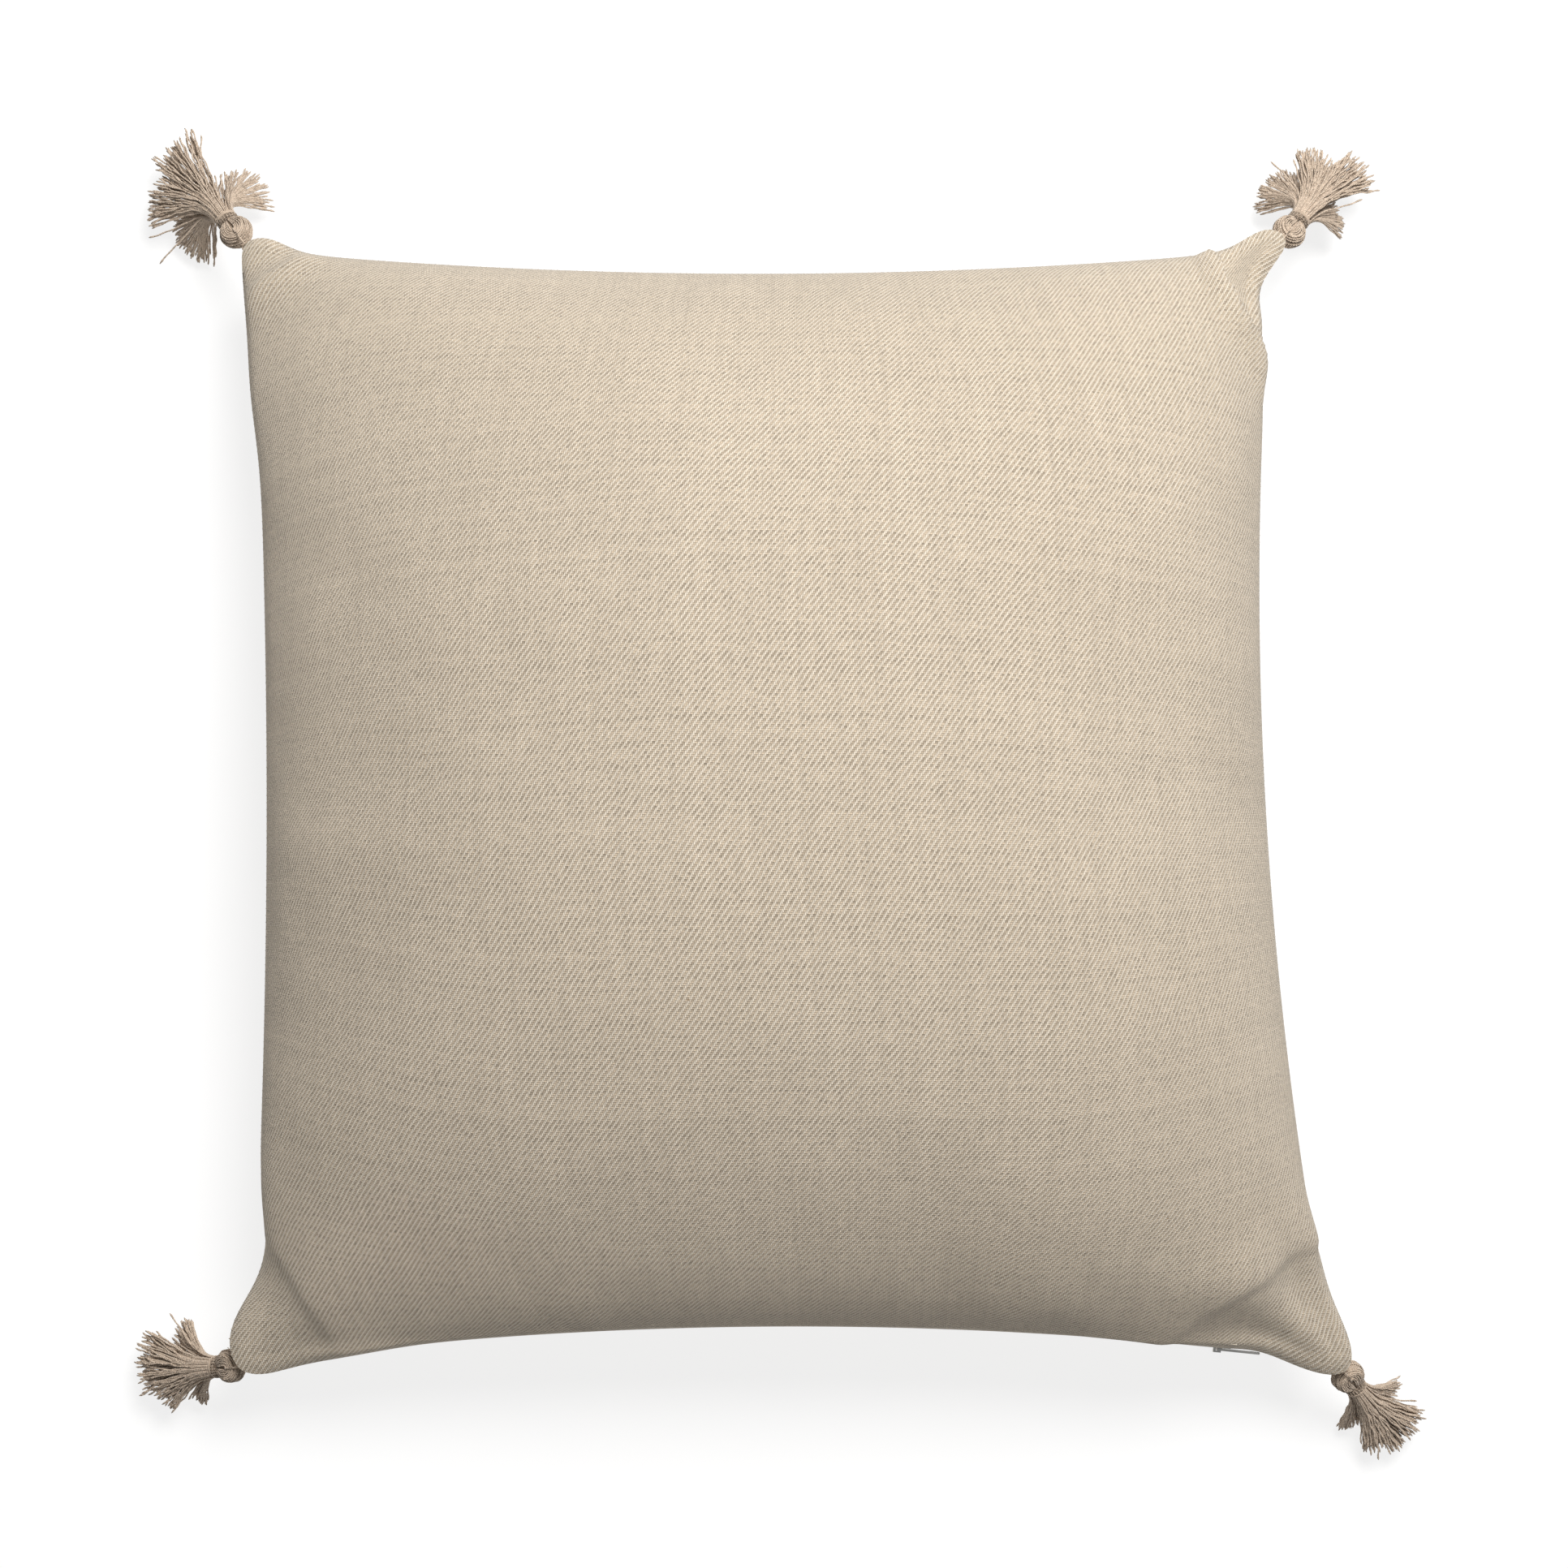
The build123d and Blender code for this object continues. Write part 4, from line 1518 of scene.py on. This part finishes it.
@dataclass
class Zip:
    """Coil zip along the front edge, whose line is part of a circle."""

    seam: SeamPlan
    share: float = 0.80
    set_back: float = 0.0034
    gap: float = 0.0006
    height: float = 0.0020
    thickness: float = 0.0022
    pitch: float = 0.00128
    wire: float = 0.00027
    per_turn: int = 9

    def __post_init__(self) -> None:
        """Finds the arc that the zip follows."""
        travel = joint("zip_travel")
        self.centre = Vector(travel["pos_m"])
        self.axis = Vector(travel["axis"]).normalized()
        left, right = self.seam.place(-self.share, -1), self.seam.place(self.share, -1)
        self.half_angle = (left - self.centre).angle(right - self.centre) / 2
        along = (right - left).normalized()
        self.outward = along.cross(Vector((0, 0, 1))).normalized()
        self.up = self.outward.cross(along)
        if self.up.z < 0:
            self.up = -self.up
        bisector = ((left - self.centre).normalized() + (right - self.centre).normalized()).normalized()
        self.middle = self.centre + bisector * (left - self.centre).length

    def at(self, share: float, outward: float, up: float) -> Vector:
        """Point beside the zip's line.

        Args:
            share: place along it, -1 at the left end to 1 at the right.
            outward: distance outward from the seam line.
            up: distance up from the seam line.

        Returns:
            The point.
        """
        start = self.middle + self.outward * outward + self.up * up
        turn = Matrix.Rotation(share * self.half_angle, 3, self.axis)
        return self.centre + turn @ (start - self.centre)

    def coil_line(self, side: int) -> list:
        """Flattened helix of one coil, its turns wrapping the tape's edge.

        Args:
            side: 1 for the upper coil, -1 for the lower.

        Returns:
            Points along the coil's wire.
        """
        length = 2 * self.half_angle * (self.middle - self.centre).length
        count = int(length / self.pitch) * self.per_turn
        out_mid = -self.set_back + self.thickness / 2
        up_mid = side * (self.gap + self.height / 2)
        deep = self.thickness / 2 - 0.00028
        points = []
        for i in range(count):
            angle = 2 * math.pi * i / self.per_turn
            tall = 0.5 * self.height - 0.0002 + (0.00025 if math.cos(angle) > 0.7 else 0.0)
            outward, up = out_mid + deep * math.sin(angle), up_mid - side * tall * math.cos(angle)
            points.append(self.at(-1 + 2 * i / count, outward, up))
        return points

    def build(self, nylon: bpy.types.Material, tape: bpy.types.Material, metal: bpy.types.Material) -> list:
        """Makes the coils and dresses the tapes, stops, slider and pull.

        Args:
            nylon: the coils' finish.
            tape: the tapes' finish.
            metal: the finish of the slider, pull and stops.

        Returns:
            The two coils.
        """
        coils = []
        for side, word in ((1, "upper"), (-1, "lower")):
            maker = YarnMaker(radius=self.wire, pitch=1.0, sides=5)
            item = maker.lay(f"zip_coil_turns_{word}", [self.coil_line(side)])
            item.data.materials.append(nylon)
            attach(item, "cushion")
            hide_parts(f"zip_coil_{word}")
            coils.append(item)
        for node in ("zip_tape_upper", "zip_tape_lower"):
            dress_node(node, tape)
        for node in ("zip_stop_left", "zip_stop_right", "zip_slider", "zip_pull"):
            dress_node(node, metal)
        return coils


def dress_node(node: str, finish: bpy.types.Material) -> None:
    """Gives a piece of the frame that stays in view its finish.

    Args:
        node: the piece's name.
        finish: its material.
    """
    item = frame["nodes"][node]
    if item.material_slots:
        for slot in item.material_slots:
            slot.material = finish
    else:
        item.data.materials.append(finish)


# ---------------------------------------------------------------------------------------------
# Studio
# ---------------------------------------------------------------------------------------------
@dataclass
class Studio:
    """Pale floor, one big soft light from the back right, a dim surround and a camera overhead."""

    frame_width: float = 0.842
    seam_level: float = 0.070
    distance: float = 2.2
    centre: tuple = (0.0035, 0.0118)
    key_direction: tuple = (0.22, 0.47, 0.855)
    key_power: float = 78.0
    key_size: float = 1.1
    key_distance: float = 2.4
    surround: float = 0.22
    floor_size: float = 60.0
    sensor: float = 36.0

    def build(self) -> None:
        """Sets up everything round the cushion."""
        self.add_floor()
        self.add_key()
        self.add_surround()
        self.add_camera()
        bpy.context.scene.view_settings.view_transform = "Standard"

    def add_floor(self) -> None:
        """Adds the floor."""
        Bench.clear()
        bpy.ops.mesh.primitive_grid_add(
            x_subdivisions=4, y_subdivisions=4, size=self.floor_size, location=(0, 0, -0.0004)
        )
        bpy.ops.object.transform_apply(location=True, rotation=True, scale=True)
        floor = bpy.context.object
        floor.name = "studio_floor"
        floor.data.materials.append(FloorPaint().make())

    def add_key(self) -> None:
        """Adds the main light."""
        Bench.clear()
        direction = Vector(self.key_direction).normalized()
        bpy.ops.object.light_add(type="AREA", location=direction * self.key_distance)
        lamp = bpy.context.object
        lamp.rotation_euler = direction.to_track_quat("Z", "Y").to_euler()
        lamp.data.energy = self.key_power
        lamp.data.shape = "DISK"
        lamp.data.size = self.key_size
        lamp.data.color = (1.0, 0.985, 0.965)

    def add_surround(self) -> None:
        """Adds the dim light from all round."""
        world = bpy.context.scene.world or bpy.data.worlds.new("surround")
        bpy.context.scene.world = world
        world.use_nodes = True
        shade = next(n for n in world.node_tree.nodes if n.type == "BACKGROUND")
        shade.inputs["Color"].default_value = (0.97, 0.985, 1.0, 1.0)
        shade.inputs["Strength"].default_value = self.surround

    def add_camera(self) -> None:
        """Adds the camera, looking straight down with the back of the cushion upwards."""
        Bench.clear()
        bpy.ops.object.camera_add(location=(*self.centre, self.distance), rotation=(0, 0, 0))
        camera = bpy.context.object
        camera.data.sensor_width = self.sensor
        camera.data.lens = self.sensor * (self.distance - self.seam_level) / self.frame_width
        camera.data.dof.use_dof = False
        bpy.context.scene.camera = camera


# ---------------------------------------------------------------------------------------------
# The cushion
# ---------------------------------------------------------------------------------------------
TASSELS = {
    "back_left": [
        Fan(112, 143, 74, 0.061),
        Fan(138, 192, 108, 0.050),
        Fan(160, 268, 98, 0.044, Lay.UNDER),
        Fan(-8, 122, 94, 0.041, Lay.UNDER),
        Fan(105, 230, 4, 0.052, Lay.STRAY),
    ],
    "back_right": [
        Fan(22, 55, 96, 0.053),
        Fan(50, 102, 112, 0.043),
        Fan(84, 190, 104, 0.040, Lay.UNDER),
        Fan(-36, 40, 84, 0.035, Lay.UNDER),
        Fan(10, 140, 4, 0.046, Lay.STRAY),
    ],
    "front_left": [
        Fan(150, 207, 156, 0.049),
        Fan(202, 234, 66, 0.041),
        Fan(116, 172, 84, 0.041, Lay.UNDER),
        Fan(212, 264, 62, 0.036, Lay.UNDER),
        Fan(130, 240, 4, 0.047, Lay.STRAY),
    ],
    "front_right": [
        Fan(-60, -16, 150, 0.048),
        Fan(-84, -54, 92, 0.043),
        Fan(-112, -60, 70, 0.036, Lay.UNDER),
        Fan(-40, 8, 66, 0.037, Lay.UNDER),
        Fan(-90, -5, 4, 0.046, Lay.STRAY),
    ],
}


def main() -> None:
    """Builds the cushion piece by piece and sets up the studio."""
    logging.basicConfig(level=logging.INFO, format="%(message)s")
    seam = SeamPlan()
    twill = TwillCloth().make()
    cotton = PlainCloth((0.86, 0.85, 0.81, 1.0), (0.74, 0.73, 0.69, 1.0)).make("insert_cotton")
    thread = PlainCloth((0.70, 0.62, 0.51, 1.0), (0.50, 0.43, 0.34, 1.0)).make("sewing_thread")
    tape = PlainCloth((0.62, 0.56, 0.46, 1.0), (0.46, 0.41, 0.33, 1.0), 0.0007).make("zip_tape_cloth")
    yarn = FlaxYarn().make("flax_yarn")
    cover = Cover(seam)
    for piece in cover.build(twill, cotton):
        report(piece)
    report(SeamStitches(cover).build(thread))
    for coil in Zip(seam).build(SmoothPlastic().make(), tape, BrushedMetal().make()):
        report(coil)
    for number, (corner, fans) in enumerate(TASSELS.items()):
        for piece in Tassel(corner, fans, seed=11 + number).build(yarn):
            report(piece)
        dress_node(f"corner_tack_{corner}", yarn)
    Studio().build()


if __name__ == "__main__":
    main()
